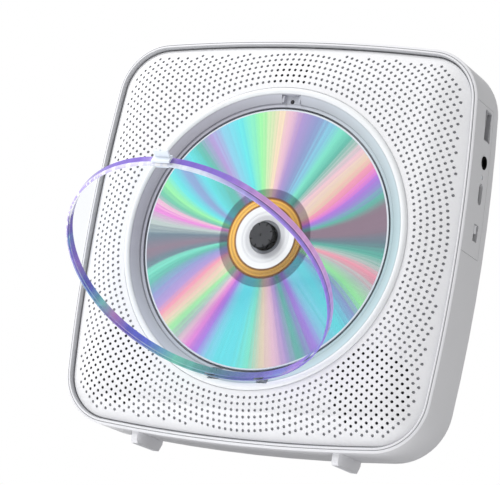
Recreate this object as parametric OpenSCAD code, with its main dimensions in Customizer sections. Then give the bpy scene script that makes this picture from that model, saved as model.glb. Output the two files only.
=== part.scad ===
// Wall mounted disc player: a bowed square body with a perforated front, a round well for the disc,
// a clear lid hinged at the well's foot, two speakers and a row of sockets on the right-hand wall.
// The pieces are drawn lying on the wall face, with x to the right, y up and z out towards the
// front. stand_up() turns them so that the front faces -Y, Z is up and the origin is the centre of
// the wall face.

/* [Body] */
// Width and height of the body at the middle of its sides
body_size = 187; // [180:1:230]
// Depth from the wall face to the crest round the well
body_depth = 34; // [33:0.5:42]
// How far the middle of each side bows out past its ends
side_bow = 5.2; // [3:0.1:7]
// Corner radius of the body
corner_r = 25.2; // [22:0.5:32]
// Wall thickness of the housing
wall = 2; // [1.6:0.1:2.6]
// Thickness of the housing's rear wall
rear_wall = 2.4; // [2:0.1:3]
// Radius of the rounded rear edge
rear_round = 3; // [1:0.5:4]
// Width of the bezel round the grille
bezel_w = 3.2; // [2.8:0.1:4]
// Depth of the seam behind the crest
seam_drop = 5.9; // [5:0.1:7]

/* [Grille] */
// Thickness of the grille
grille_t = 2; // [1.6:0.1:2.4]
// Width over which the grille rolls back to its edge
grille_roll = 20; // [12:1:21]
// How far the grille's edge lies behind its face
grille_drop = 6; // [4:0.5:7]
// Pitch of the rings of holes
hole_pitch = 2.8; // [2.4:0.1:3.6]
// Diameter of the holes
hole_d = 1.3; // [1:0.05:1.5]

/* [Well and lid] */
// Diameter of the disc
disc_d = 120; // [116:1:124]
// Thickness of the disc
disc_t = 1.2; // [1:0.1:1.4]
// Diameter of the hole in the disc
disc_hole = 15; // [14.5:0.1:15.5]
// Depth of the disc's face behind the crest
disc_sink = 3.2; // [2.8:0.1:4]
// Height of the crest above the grille
crest_rise = 1.3; // [1:0.1:1.8]
// How far the lid reaches past the disc
lid_over = 0.8; // [0.6:0.1:1.2]
// Depth of the lid from its face to the edge of its skirt
lid_depth = 5; // [4.8:0.1:6]
// Thickness of the lid's window and skirt
lid_t = 1.2; // [1:0.1:1.6]
// Angle of the open lid
lid_open = 55; // [40:1:75]
// Distance from the middle to each lid arm
arm_x = 12; // [10:0.5:20]
// Width of each lid arm
arm_w = 5; // [4:0.5:6]
// Diameter of the hinge pins
pin_d = 1.5; // [1.2:0.1:1.8]
// Sideways place of the latch
latch_x = 2.5; // [-10:0.5:10]

/* [Mechanism] */
// Thickness of the deck under the disc
deck_t = 1.6; // [1.2:0.1:2]
// Gap between the disc and the deck
deck_gap = 1.6; // [1.4:0.1:2]
// Height of the hub above the disc
hub_rise = 4; // [3:0.1:4.1]
// Travel of the pickup
sled_travel = 33; // [20:1:34]
// Pitch of the lead screw
screw_pitch = 3; // [1:0.5:4]
// Diameter of the spindle motor
motor_d = 22; // [18:1:24]
// Thickness of the mechanism's chassis
chassis_t = 1; // [0.8:0.1:1.5]

/* [Speakers] */
// Distance of each speaker's axis from the body's middle lines
speaker_at = 63; // [62:0.5:80]
// Outer radius of the speaker's flange
speaker_r = 20.5; // [17:0.5:21]
// Depth of the speaker behind its flange
speaker_depth = 15; // [11:0.5:16]

/* [Electronics] */
// Thickness of the circuit boards
board_t = 1.6; // [1:0.1:2]
// Height of the main board's front face
board_h = 11; // [10:0.5:13]
// Diameter of the battery cell
cell_d = 18.4; // [16:0.1:19]
// Length of the battery cell
cell_l = 65; // [50:1:66]
// Sideways pitch of the top buttons
button_pitch = 16; // [14:0.5:18]
// Travel of the top buttons
button_travel = 0.6; // [0.3:0.05:0.6]
// Travel of the power switch
switch_travel = 3; // [2:0.5:3]

/* [Wall and feet] */
// Distance between the keyholes
keyhole_span = 120; // [90:5:126]
// Height of the keyholes' round part
keyhole_y = 48; // [40:1:52]
// Radius of the keyholes' round part
keyhole_r = 4.2; // [3.5:0.1:5]
// Distance from the middle to each foot
foot_x = 50; // [35:1:60]
// Thickness of the feet
foot_w = 3; // [2.5:0.5:5]
// Height of the feet below the middle of the lower side
foot_drop = 3.7; // [3:0.1:6]

/* [Hidden] */

// Clearances
fit = 0.1;
play = 0.3;
running = 0.05;
tiny = 0.5;

// Outline: four shallow side arcs and four corner arcs, kept as offsets from the grille's edge
half = body_size / 2 - bezel_w;
side_r = (half * half + side_bow * side_bow) / (2 * side_bow);
base_r = corner_r - bezel_w;
side_c = half - side_r;
corner_c = (side_c + sqrt(2 * pow(side_r - base_r, 2) - side_c * side_c)) / 2;
join_a = atan2(corner_c, corner_c - side_c);
side_steps = 8;
corner_steps = 12;
roll_steps = 7;
round_steps = 6;
inner = bezel_w - wall;

// Heights above the wall face
crest_h = body_depth;
grille_h = crest_h - crest_rise;
edge_h = grille_h - grille_drop;
seam_h = crest_h - seam_drop;
disc_h = crest_h - disc_sink;
disc_back = disc_h - disc_t;
deck_h = disc_back - deck_gap;
deck_back = deck_h - deck_t;
skirt_h = disc_h + 0.5;
lid_h = skirt_h + lid_depth;

// Radii of the well
disc_r = disc_d / 2;
lid_r = disc_r + lid_over;
floor_r = disc_r + 0.9;
ledge_r = disc_r + 2.4;
slope_r = disc_r + 6.5;
crest_w = 1.6;
crest_r = slope_r + 1.5;
ring_r = crest_r + crest_w + fit;
flange_r = ring_r + 4.3;
deck_r = disc_r + 8.2;
ear_r = ring_r + 2.3;
ear_angles = [10, 62, 118, 170, 270];

// Lid hinge
hinge_y = -(disc_r + 4);
hinge_h = disc_h + 0.2;
barrel_r = 1.6;
notch_r = barrel_r + play;
notch_w = arm_w / 2 + play;
catch_w = 4.8;
catch_x = 4.1;

// Places of the mechanism
lens_x = -24.5;
sled_w = 18;
rod_y = 21;
rod_r = 1.5;
rod_h = deck_back - 7.4;
rod_near = -12.2;
rod_far = lens_x - sled_travel - sled_w / 2 - 0.6;
bracket_t = 2;
lead_y = -27;
lead_r = 1.4;
lead_h = rod_h - 1;
chassis_h = deck_back - 1.8;
damper_spots = [[-55, 34], [-55, -36], [22, 24], [22, -24]];
damper_r = 4;
shaft_r = 1;
hub_h = disc_h + hub_rise;

// Places of the speakers
flange_h = edge_h - 1.3;
flange_t = 1.2;
cone_r = speaker_r - 4;
magnet_r = speaker_r * 0.54;
magnet_t = 7;
basket_t = speaker_depth - magnet_t;
speaker_ear = speaker_r + 2.6;
speaker_hole_r = speaker_r - 1;
rim_w = 2.6;
gasket_top = edge_h - grille_t + 1.2;

// Screws and posts
post_r = 3;
screw_r = 1.2;
head_r = 2.4;
head_t = 1.4;
upper_post = [half - 18.5, half - 16.5];
lower_post = [half - 10.3, -30];
case_posts = [for (s = [-1, 1], p = [upper_post, lower_post]) [s * p.x, p.y]];
case_split = 12;
board_posts = [[36, -2], [36, 62], [76, -2]];

// Right-hand sockets, as [height above the middle, height above the wall face]
usb_at = [60.2, board_h + 2.9];
jack_at = [43.5, board_h + 3.4];
light_at = [36.8, board_h + 4];
type_c_at = [29.2, board_h + 4];
switch_at = [11.7, board_h + 3.8];
usb_w = 13.2;
usb_t = 5.8;
jack_r = 1.8;
jack_nose = 2.9;
light_r = 0.8;
type_c_w = 8.9;
type_c_t = 3.2;
knob_w = 3.6;
switch_w = knob_w + switch_travel + 0.8;
switch_t = 4.6;
panel_low = 1;
panel_high = 68.8;
panel_h = 8.1;

// Top buttons
button_w = 9;
button_t = 5;
button_h = 14;
button_places = [-2, -1, 0, 1, 2];
board_y = body_size / 2 - 11;
tact_t = 3.5;

// Battery, low down for a steady stand
cell_y = -(half - 33);
cradle_t = 1.4;
cell_h = rear_wall + cell_d / 2 + cradle_t;

// Display behind the grille, above the well
display_y = ring_r + 7.7;
display_w = 14;
display_t = 9;
window_half = 10;
display_back = deck_back - 3.4;

function turned(p, a) = [p.x * cos(a) - p.y * sin(a), p.x * sin(a) + p.y * cos(a)];

// Points of the outline moved out by d
function outline(d) = [for (k = [0:3]) each concat(
    [for (i = [0:side_steps - 1]) let (a = -join_a + 2 * join_a * i / side_steps)
        turned([side_c + (side_r + d) * cos(a), (side_r + d) * sin(a)], 90 * k)],
    [for (i = [0:corner_steps - 1]) let (a = join_a + (90 - 2 * join_a) * i / corner_steps)
        turned([corner_c + (base_r + d) * cos(a), corner_c + (base_r + d) * sin(a)], 90 * k)])];

// Distance of the housing's outer face from the middle line, at a place along a side
function wall_at(along) = side_c + sqrt(pow(side_r + bezel_w, 2) - along * along);

// Distance of a point inside the outline
function inset(p) = let (q = [abs(p.x), abs(p.y)], v = q - [corner_c, corner_c], a = atan2(v.y, v.x))
    (v.x > 0 && v.y > 0 && a > join_a && a < 90 - join_a) ? base_r - norm(v) :
        side_r - max(norm(q - [side_c, 0]), norm(q - [0, side_c]));

// Height of the grille's face at a distance inside the outline
function face_h(d) = edge_h + grille_drop * sin(90 * min(1, max(0, d) / grille_roll));

// Top of the ring's flange, under the grille at its lowest place
flange_top = face_h(half - flange_r) - grille_t - play;

// Centres of the open holes: rings about the well, over the speakers and the display
function open_holes() = [for (m = [ceil((ring_r + 1.8) / hole_pitch):ceil(1.3 * half / hole_pitch)],
    i = [0:6 * m - 1]) let (a = (i + 0.5) * 60 / m, p = hole_pitch * m * [sin(a), cos(a)])
        if (inset(p) > 3.5 && (norm([abs(p.x), p.y] - [speaker_at, -speaker_at]) < speaker_hole_r - hole_d
            || (abs(p.x) < window_half && abs(p.y - display_y) < display_t / 2 + 1))) p];

module stand_up() { rotate([90, 0, 0]) children(); }

// Solid between outlines stacked upwards; each ring is [offset, height]
module loft(rings) {
    n = 4 * (side_steps + corner_steps);
    last = len(rings) - 1;
    points = [for (r = rings) each [for (p = outline(r.x)) [p.x, p.y, r.y]]];
    faces = concat(
        [[for (i = [0:n - 1]) i]],
        [for (j = [0:last - 1], i = [0:n - 1]) each [
            [j * n + i, (j + 1) * n + i, j * n + (i + 1) % n],
            [(j + 1) * n + i, (j + 1) * n + (i + 1) % n, j * n + (i + 1) % n]]],
        [[for (i = [n - 1:-1:0]) last * n + i]]);
    polyhedron(points, faces);
}

// Closed band round the outline; the profile is a closed path of [offset, height]
module band(profile) {
    n = 4 * (side_steps + corner_steps);
    m = len(profile);
    points = [for (r = profile) each [for (p = outline(r.x)) [p.x, p.y, r.y]]];
    faces = [for (j = [0:m - 1], i = [0:n - 1]) let (k = (j + 1) % m) each [
        [j * n + i, k * n + i, j * n + (i + 1) % n],
        [k * n + i, k * n + (i + 1) % n, j * n + (i + 1) % n]]];
    polyhedron(points, faces);
}

// A straight bar of this size, rounded at both ends across its thickness
module pill(long, thick, depth) {
    linear_extrude(depth) {
        square([thick, long - thick], center = true);
        for (s = [-1, 1]) translate([0, s * (long - thick) / 2]) circle(d = thick, $fn = 32);
    }
}

// Places children on the right-hand wall's sockets: x is the place across the body
module from_side(at, x) { translate([x, at.x, at.y]) rotate([0, 90, 0]) children(); }

// Box given by its corners
module block(low, high) { translate(low) cube(high - low); }

module tube(outer_r, inner_r, low, high) {
    translate([0, 0, low]) difference() {
        cylinder(r = outer_r, h = high - low, $fn = 64);
        translate([0, 0, -tiny]) cylinder(r = inner_r, h = high - low + 2 * tiny, $fn = 48);
    }
}

module rod(r, low, high) { translate([0, 0, low]) cylinder(r = r, h = high - low, $fn = 48); }

// Screw pointing up: its head's underside is at seat
module screw(r, head, seat, tip) {
    rod(r, seat, tip);
    difference() {
        rod(head, seat - head_t, seat);
        for (a = [0, 90]) rotate(a) translate([-head, -0.25, seat - head_t - tiny])
            cube([2 * head * 0.8, 0.5, tiny + 0.6]);
    }
}

// ---- Casings ----

module housing_outside() {
    loft(concat([for (i = [0:round_steps]) let (a = 90 * i / round_steps)
        [bezel_w - rear_round * (1 - sin(a)), rear_round * (1 - cos(a))]], [[bezel_w, seam_h]]));
}

module housing_inside() { translate([0, 0, rear_wall]) linear_extrude(body_depth) polygon(outline(inner)); }

module panel_box(gap) {
    block([half - 14, panel_low - gap, panel_h - gap], [half + 10, panel_high + gap, body_depth]);
}

module keyhole(s) {
    translate([s * keyhole_span / 2, keyhole_y, -tiny]) {
        cylinder(r = keyhole_r, h = rear_wall + 2 * tiny, $fn = 64);
        translate([0, 10, 0]) cylinder(r = keyhole_r / 2, h = rear_wall + 2 * tiny, $fn = 48);
        translate([-keyhole_r / 2, 0, 0]) cube([keyhole_r, 10, rear_wall + 2 * tiny]);
    }
}

module button_cut(x, gap) {
    translate([x, body_size / 2 - 8, button_h]) rotate([-90, 0, 0]) rotate(90)
        pill(button_w + 2 * gap, button_t + 2 * gap, 12);
}

function speaker_ears(s) = [for (k = [-1, 1])
    [s * (speaker_at + k * speaker_ear * sin(45)), -speaker_at + k * speaker_ear * sin(45)]];

module rear_housing() { color("white") {
    difference() {
        housing_outside();
        housing_inside();
        panel_box(fit);
        for (s = [-1, 1]) keyhole(s);
        for (k = button_places) button_cut(k * button_pitch, play);
        for (p = case_posts) translate([p.x, p.y, -tiny]) cylinder(r = screw_r + fit, h = 9, $fn = 32);
        for (p = case_posts) translate([p.x, p.y, -tiny])
            cylinder(r = head_r + play, h = tiny + head_t + 0.2, $fn = 32);
        for (s = [-1, 1]) translate([s * foot_x, -half - 5, button_h]) rotate([-90, 0, 0])
            cylinder(r = foot_w / 2 + fit, h = 12, $fn = 32);
    }
    for (p = case_posts) translate([p.x, p.y, 0])
        tube(post_r + 0.8, screw_r + fit, rear_wall, case_split);
    for (p = board_posts) translate([p.x, p.y, 0])
        tube(post_r, screw_r, rear_wall, board_h - board_t);
    for (s = [-1, 1], p = speaker_ears(s)) translate([p.x, p.y, 0])
        tube(post_r, screw_r, rear_wall, flange_h - flange_t);
    for (s = [-1, 1]) block([s * 40 - 1, board_y - 4, rear_wall], [s * 40 + 1, board_y, button_h + 6]);
} }

module port_panel() { color("whitesmoke") difference() {
    intersection() {
        difference() {
            housing_outside();
            housing_inside();
        }
        panel_box(0);
    }
    from_side(usb_at, half - 8) pill_box(usb_w + 2 * play, usb_t + 2 * play);
    from_side(jack_at, half - 8) cylinder(r = jack_nose + fit, h = 20, $fn = 48);
    from_side(light_at, half - 8) cylinder(r = light_r + fit, h = 20, $fn = 32);
    from_side(type_c_at, half - 8) pill(type_c_w + 2 * play, type_c_t + 2 * play, 20);
    from_side(switch_at, half - 8) pill_box(switch_w, switch_t);
} }

// Rectangular opening through the side wall
module pill_box(long, thick) { translate([-thick / 2, -long / 2, 0]) cube([thick, long, 20]); }

module front_bezel() { color("white")
    band([[-2.6, edge_h - grille_t - 1.8], [inner - fit, edge_h - grille_t - 1.8], [inner - fit, seam_h],
        [bezel_w, seam_h], [bezel_w, seam_h + 0.15], [2.2, seam_h + 0.65], [1.4, seam_h + 0.95],
        [0.9, seam_h + 1], [0.5, seam_h + 0.85], [play, seam_h + 0.5], [play, edge_h - grille_t],
        [-2.6, edge_h - grille_t]]);
}

module front_grille() { color("whitesmoke") {
    difference() {
        loft(concat([[0, edge_h - grille_t]], [for (i = [0:roll_steps])
            let (d = grille_roll * i / roll_steps) [-d, face_h(d)]]));
        translate([0, 0, -grille_t]) loft(concat([[-grille_t, edge_h - grille_t]],
            [for (i = [1:roll_steps - 1]) let (d = grille_roll * i / (roll_steps - 1))
                [-max(d, 0), face_h(d)]]));
        rod(ring_r + fit, 10, body_depth + 5);
        for (p = open_holes()) translate([p.x, p.y, 20]) cylinder(d = hole_d, h = 20, $fn = 16);
    }
    for (p = case_posts) translate([p.x, p.y, 0])
        tube(post_r, screw_r - 0.05, case_split + 0.2, face_h(inset(p)) - grille_t / 2);
} }

// ---- Well and lid ----

module hinge_bores(r) {
    for (s = [-1, 1]) translate([s * arm_x - arm_w / 2 - 2, hinge_y, hinge_h]) rotate([0, 90, 0])
        cylinder(r = r, h = arm_w + 4, $fn = 32);
}

module well_ring() { color("white") difference() {
    union() {
        rotate_extrude($fn = 180) {
            polygon([[floor_r, deck_h], [deck_r - 1, deck_h], [ring_r + 0.3, deck_h + 1],
                [flange_r, deck_h + 1], [flange_r, flange_top], [ring_r, flange_top],
                [ring_r, crest_h - crest_w], [crest_r, crest_h - crest_w], [slope_r, crest_h - 0.8],
                [ledge_r + 0.3, disc_h + 0.7], [ledge_r, disc_h + 0.4], [ledge_r, disc_h],
                [floor_r, disc_h]]);
            translate([crest_r, crest_h - crest_w]) circle(r = crest_w, $fn = 48);
        }
        for (a = ear_angles) rotate(a) translate([ear_r, 0, 0]) rod(2, deck_h, deck_h + 1.5);
    }
    for (s = [-1, 1]) block([s * arm_x - notch_w, hinge_y - notch_r, hinge_h - notch_r],
        [s * arm_x + notch_w, -floor_r + 1, body_depth]);
    hinge_bores(pin_d / 2 + running);
    block([latch_x - catch_w, floor_r - 1, disc_h], [latch_x + catch_w, slope_r - 0.3, body_depth + 1]);
    translate([latch_x, ledge_r + 1, 0]) rod(1, deck_h - 1, disc_h + 1);
    for (a = ear_angles) rotate(a) translate([ear_r, 0, 0]) rod(0.85, deck_h - 1, deck_h + 2);
} }

module disc_tray() { color("silver") difference() {
    union() {
        rod(deck_r, deck_back, deck_h);
        for (a = ear_angles) rotate(a) translate([ear_r, 0, 0]) rod(3.4, deck_back, deck_h);
        for (a = ear_angles) rotate(a) block([deck_r - 4, -3.4, deck_back], [ear_r, 3.4, deck_h]);
    }
    rod(17.2, deck_back - 1, deck_h + 1);
    block([lens_x - sled_travel - 7, -9, deck_back - 1], [0, 9, deck_h + 1]);
    for (a = ear_angles) rotate(a) translate([ear_r, 0, 0]) rod(1.1, deck_back - 1, deck_h + 1);
    for (p = damper_spots) translate([p.x, p.y, 0]) rod(screw_r + fit, deck_back - 1, deck_h + 1);
    translate([latch_x, ledge_r + 1, 0]) rod(1, deck_back - 1, deck_h + 1);
} }

// Turns what is drawn on the closed lid to its open place
module opened() {
    translate([0, hinge_y, hinge_h]) rotate([lid_open, 0, 0]) translate([0, -hinge_y, -hinge_h]) children();
}

module lid() { color("lightcyan", 0.4) opened() difference() {
    union() {
        rotate_extrude($fn = 180) difference() {
            union() {
                translate([0, skirt_h]) square([lid_r, lid_depth - 0.8]);
                translate([0, skirt_h]) square([lid_r - 0.8, lid_depth]);
                translate([lid_r - 0.8, lid_h - 0.8]) circle(r = 0.8, $fn = 32);
            }
            translate([-1, skirt_h - 1]) square([lid_r - lid_t + 1, lid_depth - lid_t + 1]);
        }
        for (s = [-1, 1]) translate([s * arm_x - arm_w / 2, 0, 0]) {
            translate([0, hinge_y, hinge_h]) rotate([0, 90, 0]) cylinder(r = barrel_r, h = arm_w, $fn = 40);
            rotate([90, 0, 90]) linear_extrude(arm_w) polygon([[hinge_y - 0.4, hinge_h + 1.4],
                [hinge_y + 0.6, hinge_h - 1.2], [-lid_r + 2.2, skirt_h + 0.4],
                [-lid_r + 2.2, lid_h - 1.4], [-lid_r + 0.8, lid_h - 1.4]]);
        }
    }
    hinge_bores(pin_d / 2 + running);
    translate([latch_x - 3.2, lid_r - 4, skirt_h - 1]) cube([6.4, 6, 2.8]);
} }

module lid_clip() { color("ghostwhite") opened() {
    difference() {
        union() {
            block([latch_x - 3, lid_r - 2.6, skirt_h + 0.1], [latch_x + 3, lid_r + 1, skirt_h + 1.7]);
            block([latch_x - 4.2, lid_r + 0.1, skirt_h + 0.1], [latch_x + 4.2, lid_r + 1.2, lid_h - 1]);
            block([latch_x - 3.4, lid_r + 0.6, skirt_h + 0.5], [latch_x + 3.4, lid_r + 4.4, skirt_h + 1.5]);
            block([latch_x - 3, lid_r - 2.6, skirt_h + 0.1], [latch_x + 3, lid_r - 1.7, lid_h - 1.5]);
        }
        translate([latch_x, lid_r - 1, skirt_h + 0.9]) rotate([-90, 0, 0]) rod(0.5, -3, 6);
    }
} }

module hinge_pins() { color("silver") hinge_bores(pin_d / 2); }

module latch_catch() { color("gainsboro") for (s = [-1, 1]) translate([latch_x + s * catch_x, 0, disc_h])
    block([-0.5, ledge_r + 0.4, 0], [0.5, slope_r - 0.5, 1.4]);
}

module lid_switch() { color("dimgray") translate([latch_x, ledge_r + 1, 0]) {
    block([-4, -2, deck_back - 3.5], [4, 2, deck_back]);
    rod(0.7, deck_back - 1, disc_h + 0.3);
} }

// ---- Disc drive ----

module disc() { color("plum") tube(disc_r, disc_hole / 2, disc_back, disc_h); }

module turntable() { color("gray") difference() {
    union() {
        rod(14.5, disc_back - 1.6, disc_back);
        rod(disc_hole / 2 - fit, disc_back - 0.5, disc_h - 0.4);
        rod(3.2, deck_back + 0.4, disc_back);
    }
    rod(shaft_r, deck_back - 1, disc_h + 1);
} }

module clamp_hub() { color([0.22, 0.22, 0.24]) difference() {
    union() {
        rod(6.15, disc_h - 0.4, hub_h - 0.5);
        rod(5.65, hub_h - 0.6, hub_h);
        for (a = [90, 210, 330]) rotate(a) translate([5.9, 0, disc_h + 1]) sphere(r = 1.2, $fn = 24);
    }
    for (k = [0:7]) rotate(22.5 + 45 * k) translate([5.2, -0.3, hub_h - 1.6]) cube([2, 0.6, 3]);
    rod(0.6, hub_h - 0.4, hub_h + 1);
    rod(shaft_r, disc_h - 2, hub_h - 1);
} }

module spindle_shaft() { color("silver") rod(shaft_r, chassis_h - 11.5, hub_h - 1.2); }

module spindle_motor() { color("silver") difference() {
    union() {
        rod(motor_d / 2, chassis_h - 12.5, chassis_h - chassis_t);
        rod(3, chassis_h - 2, chassis_h + 0.8);
    }
    rod(shaft_r + running, chassis_h - 11.6, chassis_h + 2);
} }

module mech_chassis() { color("lightgray") difference() {
    union() {
        block([rod_far - bracket_t - 1, -31, chassis_h - chassis_t], [27, 30, chassis_h]);
        for (p = damper_spots) translate([p.x, p.y, 0]) rod(6.5, chassis_h - chassis_t, chassis_h);
        for (x = [rod_far - bracket_t, rod_near], s = [-1, 1])
            block([x, s * rod_y - 3, rod_h - 3],
                [x + bracket_t * 0.9, s * rod_y + 3, chassis_h - chassis_t / 2]);
        block([rod_far - bracket_t, lead_y - 3, lead_h - 3],
            [rod_far - 0.2, lead_y + 3, chassis_h - chassis_t / 2]);
    }
    block([rod_far + 1, -17.5, chassis_h - 3], [-15, 17.5, chassis_h + 1]);
    rod(3.2, chassis_h - 3, chassis_h + 1);
    for (p = damper_spots) translate([p.x, p.y, 0]) rod(2.6, chassis_h - 3, chassis_h + 1);
    for (s = [-1, 1]) translate([0, s * rod_y, rod_h]) rotate([0, 90, 0]) rod(rod_r, -100, 0);
    translate([0, lead_y, lead_h]) rotate([0, 90, 0]) rod(lead_r + running, -100, -20);
} }

module chassis_dampers() { color("dimgray") for (p = damper_spots) translate([p.x, p.y, 0]) difference() {
    union() {
        rod(damper_r, chassis_h, deck_back);
        rod(2.5, chassis_h - chassis_t, chassis_h);
        rod(damper_r, chassis_h - chassis_t - 1.4, chassis_h - chassis_t);
    }
    rod(screw_r + fit, chassis_h - 5, deck_back + 1);
} }

module damper_screws() { color("darkgray") for (p = damper_spots) translate([p.x, p.y, 0])
    screw(screw_r, 3, chassis_h - chassis_t - 1.4, deck_h - 0.2);
}

module guide_rods() { color("silver") for (s = [-1, 1]) translate([0, s * rod_y, rod_h]) rotate([0, 90, 0])
    rod(rod_r, rod_far - bracket_t, rod_near + bracket_t * 0.9);
}

module pickup_sled() { color([0.25, 0.25, 0.27]) difference() {
    union() {
        block([lens_x - sled_w / 2, -16.5, rod_h - 4], [lens_x + sled_w / 2, 16.5, chassis_h - 2]);
        block([lens_x - sled_w / 2, 16, rod_h - 2.6], [lens_x + sled_w / 2, rod_y + 3, rod_h + 2.6]);
        block([lens_x - 5, -rod_y - 2.4, rod_h - 2.6], [lens_x + 5, -16, rod_h + 2.6]);
        block([lens_x - 4, lead_y - 2.6, lead_h - 2.6], [lens_x + 4, -rod_y - 2, lead_h + 2.6]);
    }
    for (s = [-1, 1]) translate([0, s * rod_y, rod_h]) rotate([0, 90, 0]) rod(rod_r + running, -100, 0);
    translate([0, lead_y, lead_h]) rotate([0, 90, 0]) rod(lead_r + running, -100, 0);
    block([lens_x - 6.5, -8.5, rod_h], [lens_x + 6.5, 8.5, chassis_h]);
} }

module lens_holder() { color("black") difference() {
    block([lens_x - 5.8, -7.8, rod_h + 0.7], [lens_x + 5.8, 7.8, deck_h - 0.9]);
    translate([lens_x, 0, 0]) rod(2.2, deck_h - 1.9, deck_h);
} }

module pickup_lens() { color("lightblue") translate([lens_x, 0, 0]) {
    rod(2.2, deck_h - 1.9, deck_h - 0.7);
    rod(1.6, deck_h - 0.8, deck_h - 0.4);
} }

module sled_motor() { color("silver") difference() {
    translate([0, lead_y, lead_h]) rotate([0, 90, 0]) rod(5.4, rod_near + bracket_t + 0.2, rod_near + 14);
    translate([0, lead_y, lead_h]) rotate([0, 90, 0]) rod(lead_r + running, -40, rod_near + 8);
} }

module lead_screw() { color("goldenrod") translate([0, lead_y, lead_h]) rotate([0, 90, 0]) difference() {
    rod(lead_r, rod_far - bracket_t, rod_near + 7.6);
    for (x = [rod_far + 2:screw_pitch:rod_near - 2]) translate([0, 0, x]) difference() {
        rod(lead_r + 1, 0, 0.6);
        rod(lead_r - 0.3, -1, 2);
    }
} }

// ---- Speakers ----

module at_speaker(s) { translate([s * speaker_at, -speaker_at, 0]) children(); }

module speaker_frame(s) { color("dimgray") difference() {
    union() {
        at_speaker(s) {
            rod(speaker_r, flange_h - flange_t, flange_h);
            translate([0, 0, flange_h - speaker_depth + magnet_t])
                cylinder(r1 = magnet_r + 1, r2 = speaker_r - 1, h = basket_t - flange_t / 2, $fn = 64);
        }
        for (p = speaker_ears(s)) translate([p.x, p.y, 0]) rod(post_r, flange_h - flange_t, flange_h);
    }
    at_speaker(s) {
        translate([0, 0, flange_h - speaker_depth + magnet_t + 1])
            cylinder(r1 = magnet_r - 1, r2 = speaker_r - 2, h = basket_t - 1, $fn = 64);
        rod(speaker_r - rim_w, flange_h - 0.8, flange_h + 1);
        rod(6, flange_h - speaker_depth, flange_h);
    }
    for (p = speaker_ears(s)) translate([p.x, p.y, 0]) rod(screw_r + fit, flange_h - 4, flange_h + 1);
} }

module speaker_cone(s) { color("gray") at_speaker(s) rotate_extrude($fn = 64)
    polygon([[0, flange_h - 5], [3, flange_h - 5.2], [5.2, flange_h - 5.7], [cone_r - 1, flange_h - 1.3],
        [cone_r, flange_h - 0.5], [cone_r + 0.8, flange_h - 0.4], [speaker_r - 3.2, flange_h - 0.2],
        [speaker_r - 3.2, flange_h + 0.2], [cone_r, flange_h + 0.3], [cone_r - 1, flange_h - 0.6],
        [5, flange_h - 5], [3, flange_h - 3.8], [0, flange_h - 3.2]]);
}

module speaker_magnet(s) { color("darkslategray") at_speaker(s) {
    rod(magnet_r, flange_h - speaker_depth, flange_h - speaker_depth + magnet_t - 1.2);
    rod(magnet_r + 0.6, flange_h - speaker_depth + magnet_t - 1.3, flange_h - speaker_depth + magnet_t);
    rod(5, flange_h - speaker_depth + magnet_t - 1, flange_h - 7.2);
} }

module speaker_gasket(s) { color("black") at_speaker(s)
    tube(speaker_r, speaker_r - rim_w, flange_h, gasket_top);
}

module speaker_screws() { color("darkgray") for (s = [-1, 1], p = speaker_ears(s)) translate([p.x, p.y, 0])
    mirror([0, 0, 1]) screw(screw_r - 0.05, head_r, -flange_h, -flange_h + 9);
}

// ---- Electronics ----

module main_board() { color("seagreen") difference() {
    block([31, -8, board_h - board_t], [half - 4.8, 67, board_h]);
    for (p = board_posts) translate([p.x, p.y, 0]) rod(screw_r + fit, 0, board_h + 1);
    translate([keyhole_span / 2, 0, 0]) block([-2, 68, 0], [2, 70, board_h + 1]);
} }

module board_screws() { color("darkgray") for (p = board_posts) translate([p.x, p.y, 0])
    mirror([0, 0, 1]) screw(screw_r - 0.05, head_r, -board_h, -board_h + 7);
}

module board_chips() { color([0.15, 0.15, 0.16]) {
    block([44, 22, board_h], [56, 34, board_h + 1.4]);
    block([42, 44, board_h], [52, 50, board_h + 1.6]);
    block([62, 6, board_h], [70, 14, board_h + 1.2]);
    block([58, 46, board_h], [66, 51, board_h + 2]);
} }

module capacitors() { color("slategray") for (p = [[64, 38], [71, 30], [44, 10], [54, 58]])
    translate([p.x, p.y, 0]) rod(3.1, board_h, board_h + 8);
}

module display_module() { color("black")
    block([-window_half, display_y - display_t / 2, display_back],
        [-window_half + display_w, display_y + display_t / 2, deck_h]);
}

module display_board() { color("seagreen")
    block([-16, display_y - 7, display_back - board_t], [16, board_y + 3, display_back]);
}

module remote_sensor() { color([0.12, 0.1, 0.12]) {
    block([window_half - 5, display_y - 3, display_back], [window_half, display_y + 3, deck_back]);
    translate([window_half - 2.5, display_y, 0]) rod(1.9, deck_back - 0.2, deck_back + 1.2);
} }

module button_board() { color("seagreen")
    block([-42, board_y, 4], [42, board_y + board_t, display_back - 0.2 - board_t]);
}

module tact_switches() { color("darkgray") for (k = button_places)
    translate([k * button_pitch, board_y + board_t, button_h]) {
        block([-3, 0, -3], [3, tact_t, 3]);
        rotate([-90, 0, 0]) rod(1.75, tact_t - 0.2, tact_t + 0.7);
    }
}

module top_button(k) {
    x = k * button_pitch;
    top = wall_at(x) + 0.8;
    under = wall_at(abs(x) + button_w / 2 + 1) - wall - play;
    stem = board_y + board_t + tact_t + 0.7 + button_travel + 0.1;
    color("gainsboro") {
        translate([x, under - 0.1, button_h]) rotate([-90, 0, 0]) rotate(90)
            pill(button_w, button_t, top - under + 0.1);
        block([x - button_w / 2 - 1, under - 1, button_h - button_t / 2 - 1],
            [x + button_w / 2 + 1, under, button_h + button_t / 2 + 1]);
        translate([x, 0, button_h]) rotate([-90, 0, 0]) rod(1.7, stem, under - 0.5);
    }
}

module previous_button() { top_button(-1); }
module play_button() { top_button(0); }
module next_button() { top_button(1); }
module volume_down_button() { top_button(-2); }
module volume_up_button() { top_button(2); }

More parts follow.
